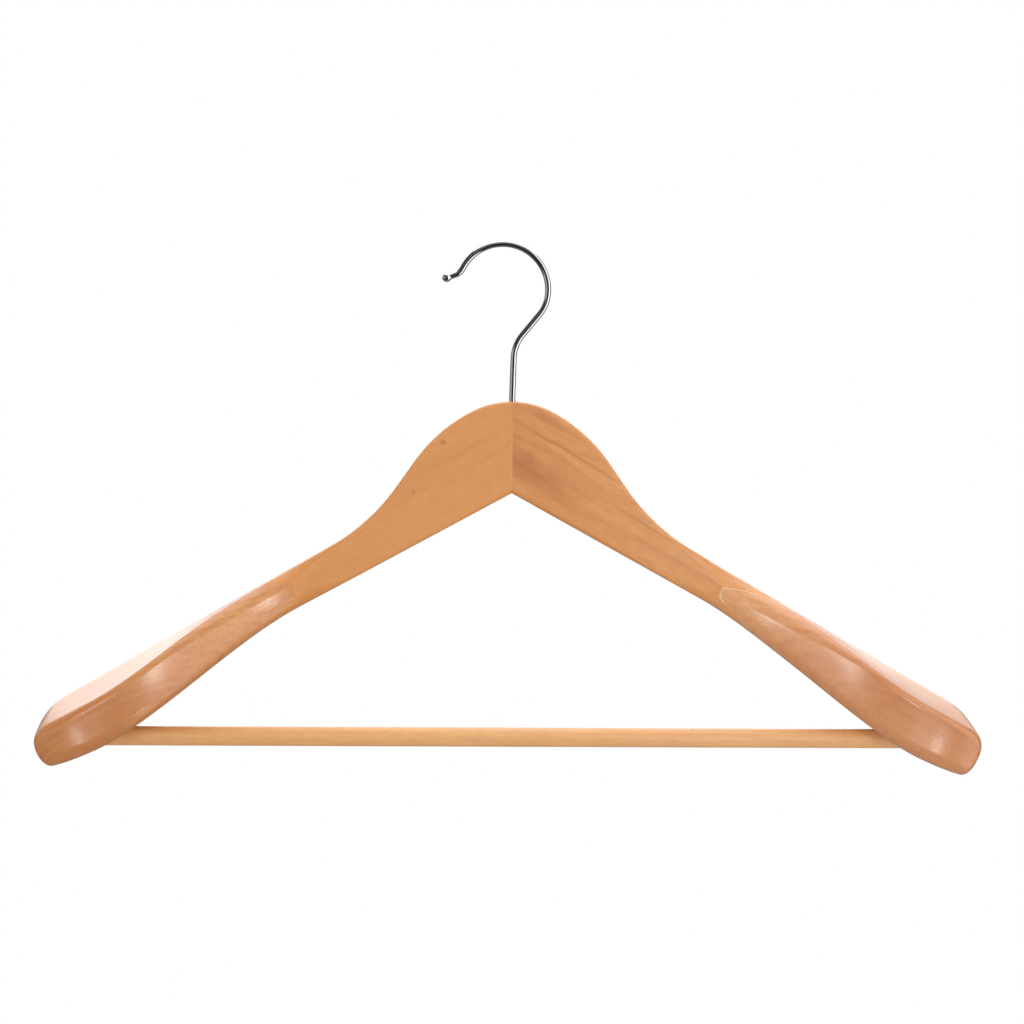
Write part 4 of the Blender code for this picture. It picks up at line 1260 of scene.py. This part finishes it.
# %% [markdown]
# ## Floor
#
# The hanger hangs, so the floor is where a wardrobe's floor would be, well under it. It is pale
# and plain and keeps the hanger's soft shadow. Towards its rim it turns to the white that is seen
# behind everything, so that no edge shows. The wire doesn't mirror the floor, because a pale one
# would put a bright line under its curl, where the photograph has a dark one.

# %% Floor disc
FLOOR_DROP = 1.2
FLOOR_RADIUS = 2.4
FLOOR_SIDES = 96
WHITE_FROM = 0.7
WHITE_AT = 2.0


def seen_directly(nodes):
    """1 for rays from the camera and for rays that metal or glass has bent, otherwise 0."""
    path = nodes.new("ShaderNodeLightPath").outputs
    bent = maths("MAXIMUM", path["Is Glossy Ray"], path["Is Transmission Ray"])
    return maths("MAXIMUM", path["Is Camera Ray"], bent)


def floor_finish():
    material, shader, place = new_finish("pale_floor")
    shade = blended(noise(place, 30.0, 3.0), linear(240, 240, 240), linear(233, 233, 233))
    feed(shader, {"Base Color": shade, "Roughness": 0.9, "Specular IOR Level": 0.1})
    nodes = material.node_tree.nodes
    level = placed(place, scale=(1.0, 1.0, 0.0))
    away = add("VectorMath", {0: level}, operation="LENGTH")["Value"]
    share = product(stretch(away, WHITE_FROM, WHITE_AT), seen_directly(nodes))
    white = nodes.new("ShaderNodeEmission").outputs["Emission"]
    mixed = add("MixShader", {0: share, 1: shader.outputs["BSDF"], 2: white})["Shader"]
    feed(nodes["Material Output"], {"Surface": mixed})
    return material


bpy.ops.mesh.primitive_circle_add(vertices=FLOOR_SIDES, radius=FLOOR_RADIUS, fill_type="NGON",
                                  location=(0.0, 0.0, -FLOOR_DROP))
floor = bpy.context.object
floor.name = "floor"
floor.data.materials.append(floor_finish())
floor.visible_glossy = False

# %% [markdown]
# ## The world, and the room in the wire
#
# The photograph has a bright white backdrop and soft light from everywhere, so the world gives an
# even light and is white for the camera. The wire mirrors a room instead: white behind, grey
# above and at the sides, a bright panel on the right, a dimmer one on the left, and dark behind
# the camera. That puts the dark line down the wire's middle.

# %% World
WORLD_LIGHT = 0.72
BEHIND = 0.25
SIDES = 0.12
ABOVE = 0.3
DARK = 0.03
RIGHT_PANEL = 1.9
LEFT_PANEL = 0.6


def room_seen(nodes):
    """What a reflection in the wire sees, by its direction: each panel is blended over the last."""
    direction = nodes.new("ShaderNodeTexCoord").outputs["Generated"]
    x, y, z = (part_of(direction, axis) for axis in "XYZ")

    def grey(level):
        return (level, level, level, 1.0)

    ahead = stretch(y, 0.15, 0.0)
    level_side = product(stretch(z, -0.35, -0.2), stretch(z, 0.35, 0.2))
    over = product(stretch(z, 0.05, 0.35), stretch(x, -0.5, -0.15))
    right_side = product(stretch(y, -0.05, -0.2), stretch(x, 0.5, 0.6))
    left_side = product(product(ahead, level_side), stretch(x, -0.5, -0.6))
    room = blended(stretch(y, -0.2, -0.6), grey(SIDES), grey(DARK))
    room = blended(over, room, grey(ABOVE))
    room = blended(left_side, room, grey(LEFT_PANEL))
    room = blended(right_side, room, grey(RIGHT_PANEL))
    backdrop = blended(stretch(z, 0.05, 0.25), grey(BEHIND), grey(1.0))
    room = blended(stretch(y, 0.25, 0.6), room, backdrop)
    glossy = nodes.new("ShaderNodeLightPath").outputs["Is Glossy Ray"]
    return blended(glossy, grey(1.0), room)


def world_finish():
    """Even white light, but white for the camera and the room for reflections."""
    world = bpy.data.worlds.new("studio")
    bpy.context.scene.world = world
    world.use_nodes = True
    nodes = world.node_tree.nodes
    light = nodes["Background"]
    feed(light, {"Color": (1.0, 1.0, 1.0, 1.0), "Strength": WORLD_LIGHT})
    shown = add("Background", {"Color": room_seen(nodes)})["Background"]
    mixed = add("MixShader", {0: seen_directly(nodes), 1: light.outputs["Background"], 2: shown})
    feed(nodes["World Output"], {"Surface": mixed["Shader"]})


world_finish()
print("even light:", WORLD_LIGHT)

# %% [markdown]
# ## Lamps
#
# A wide lamp overhead adds to the even light. The shoulders' tops mirror two lamps behind the
# hanger at a grazing angle, which makes them nearly white. In front, two small upper lamps and
# two low ones leave spots of light on the flares and the ends. These four light the varnished
# wood only, because in the polished wire they would cover the dark line. The low left one lights
# only the left half, where the photograph has more of these spots.

# %% Lamps
def soft_lamp(name, place, target, width, height, power, lit=None):
    """An elliptical area lamp that faces its target. lit is the collection it shines on, if it
    isn't to shine on everything."""
    data = bpy.data.lights.new(name, "AREA")
    data.shape = "ELLIPSE"
    data.size = width
    data.size_y = height
    data.energy = power
    lamp = bpy.data.objects.new(name, data)
    bpy.context.scene.collection.objects.link(lamp)
    lamp.visible_camera = False
    lamp.location = place
    lamp.rotation_euler = (Vector(target) - Vector(place)).to_track_quat("-Z", "Y").to_euler()
    if lit:
        lamp.light_linking.receiver_collection = lit
    print(f"{name}: {power} W, {width} x {height} m, {'some pieces' if lit else 'all pieces'}")


middle = (0.0, 0.0, -0.15)
varnished = bpy.data.collections.new("varnished")
for made in (left_board, right_board, left_block, right_block, trouser_bar):
    varnished.objects.link(made)
left_half = bpy.data.collections.new("left_half")
for made in (left_board, left_block):
    left_half.objects.link(made)
soft_lamp("back_left_lamp", (-0.5, 1.4, 0.3), middle, 0.7, 0.7, 1.6)
soft_lamp("back_right_lamp", (0.5, 1.4, 0.3), middle, 0.7, 0.7, 1.8)
soft_lamp("top_lamp", (0.1, 0.3, 1.2), middle, 2.0, 2.0, 17.0)
soft_lamp("left_lamp", (-0.6, -1.5, 0.22), middle, 0.14, 0.34, 3.0, varnished)
soft_lamp("right_lamp", (0.6, -1.5, 0.14), middle, 0.14, 0.34, 3.8, varnished)
soft_lamp("low_left_lamp", (-0.5, -1.5, -0.55), middle, 0.14, 0.14, 1.3, left_half)
soft_lamp("low_right_lamp", (0.62, -1.5, -0.57), middle, 0.14, 0.14, 1.6, varnished)

# %% [markdown]
# ## Camera
#
# The photograph was taken from about 1.1 m in front, level with the neck. The hanger is turned a
# little, its left end nearer, and it hangs a little askew. Instead of turning the hanger, the
# camera is turned the other way round the neck top.

# %% Camera at the photograph's view
CAMERA_DISTANCE = 1136.0
MM_PER_PIXEL = 0.485
ROLL = math.radians(0.55)
YAW = math.radians(2.63)
PITCH = math.radians(1.57)
NECK_PIXEL = (512.2, 401.9)
IMAGE_SIZE = 1024
SENSOR_WIDTH = 36.0

turn_yaw = Matrix.Rotation(YAW, 3, "Z")
turn_pitch = Matrix.Rotation(PITCH, 3, "X")
turn_roll = Matrix.Rotation(ROLL, 3, "Y")
hanger_to_view = turn_roll @ turn_pitch @ turn_yaw
view_to_hanger = hanger_to_view.transposed()
aside = (NECK_PIXEL[0] - IMAGE_SIZE / 2) * MM_PER_PIXEL
above = (IMAGE_SIZE / 2 - NECK_PIXEL[1]) * MM_PER_PIXEL
camera_place = view_to_hanger @ Vector((-aside, -CAMERA_DISTANCE, -above))
axes = Matrix((view_to_hanger @ Vector((1, 0, 0)), view_to_hanger @ Vector((0, 0, 1)),
               view_to_hanger @ Vector((0, -1, 0)))).transposed()
camera_data = bpy.data.cameras.new("camera")
camera_data.sensor_width = SENSOR_WIDTH
camera_data.lens = SENSOR_WIDTH * CAMERA_DISTANCE / MM_PER_PIXEL / IMAGE_SIZE
camera = bpy.data.objects.new("camera", camera_data)
bpy.context.scene.collection.objects.link(camera)
camera.matrix_world = Matrix.Translation((camera_place + Vector(NECK_TOP)) * MM) @ axes.to_4x4()
bpy.context.scene.camera = camera
bpy.context.scene.view_settings.view_transform = "Standard"
print("lens:", round(camera_data.lens, 1), "mm")
print("camera at:", [round(v, 3) for v in camera.matrix_world.translation])
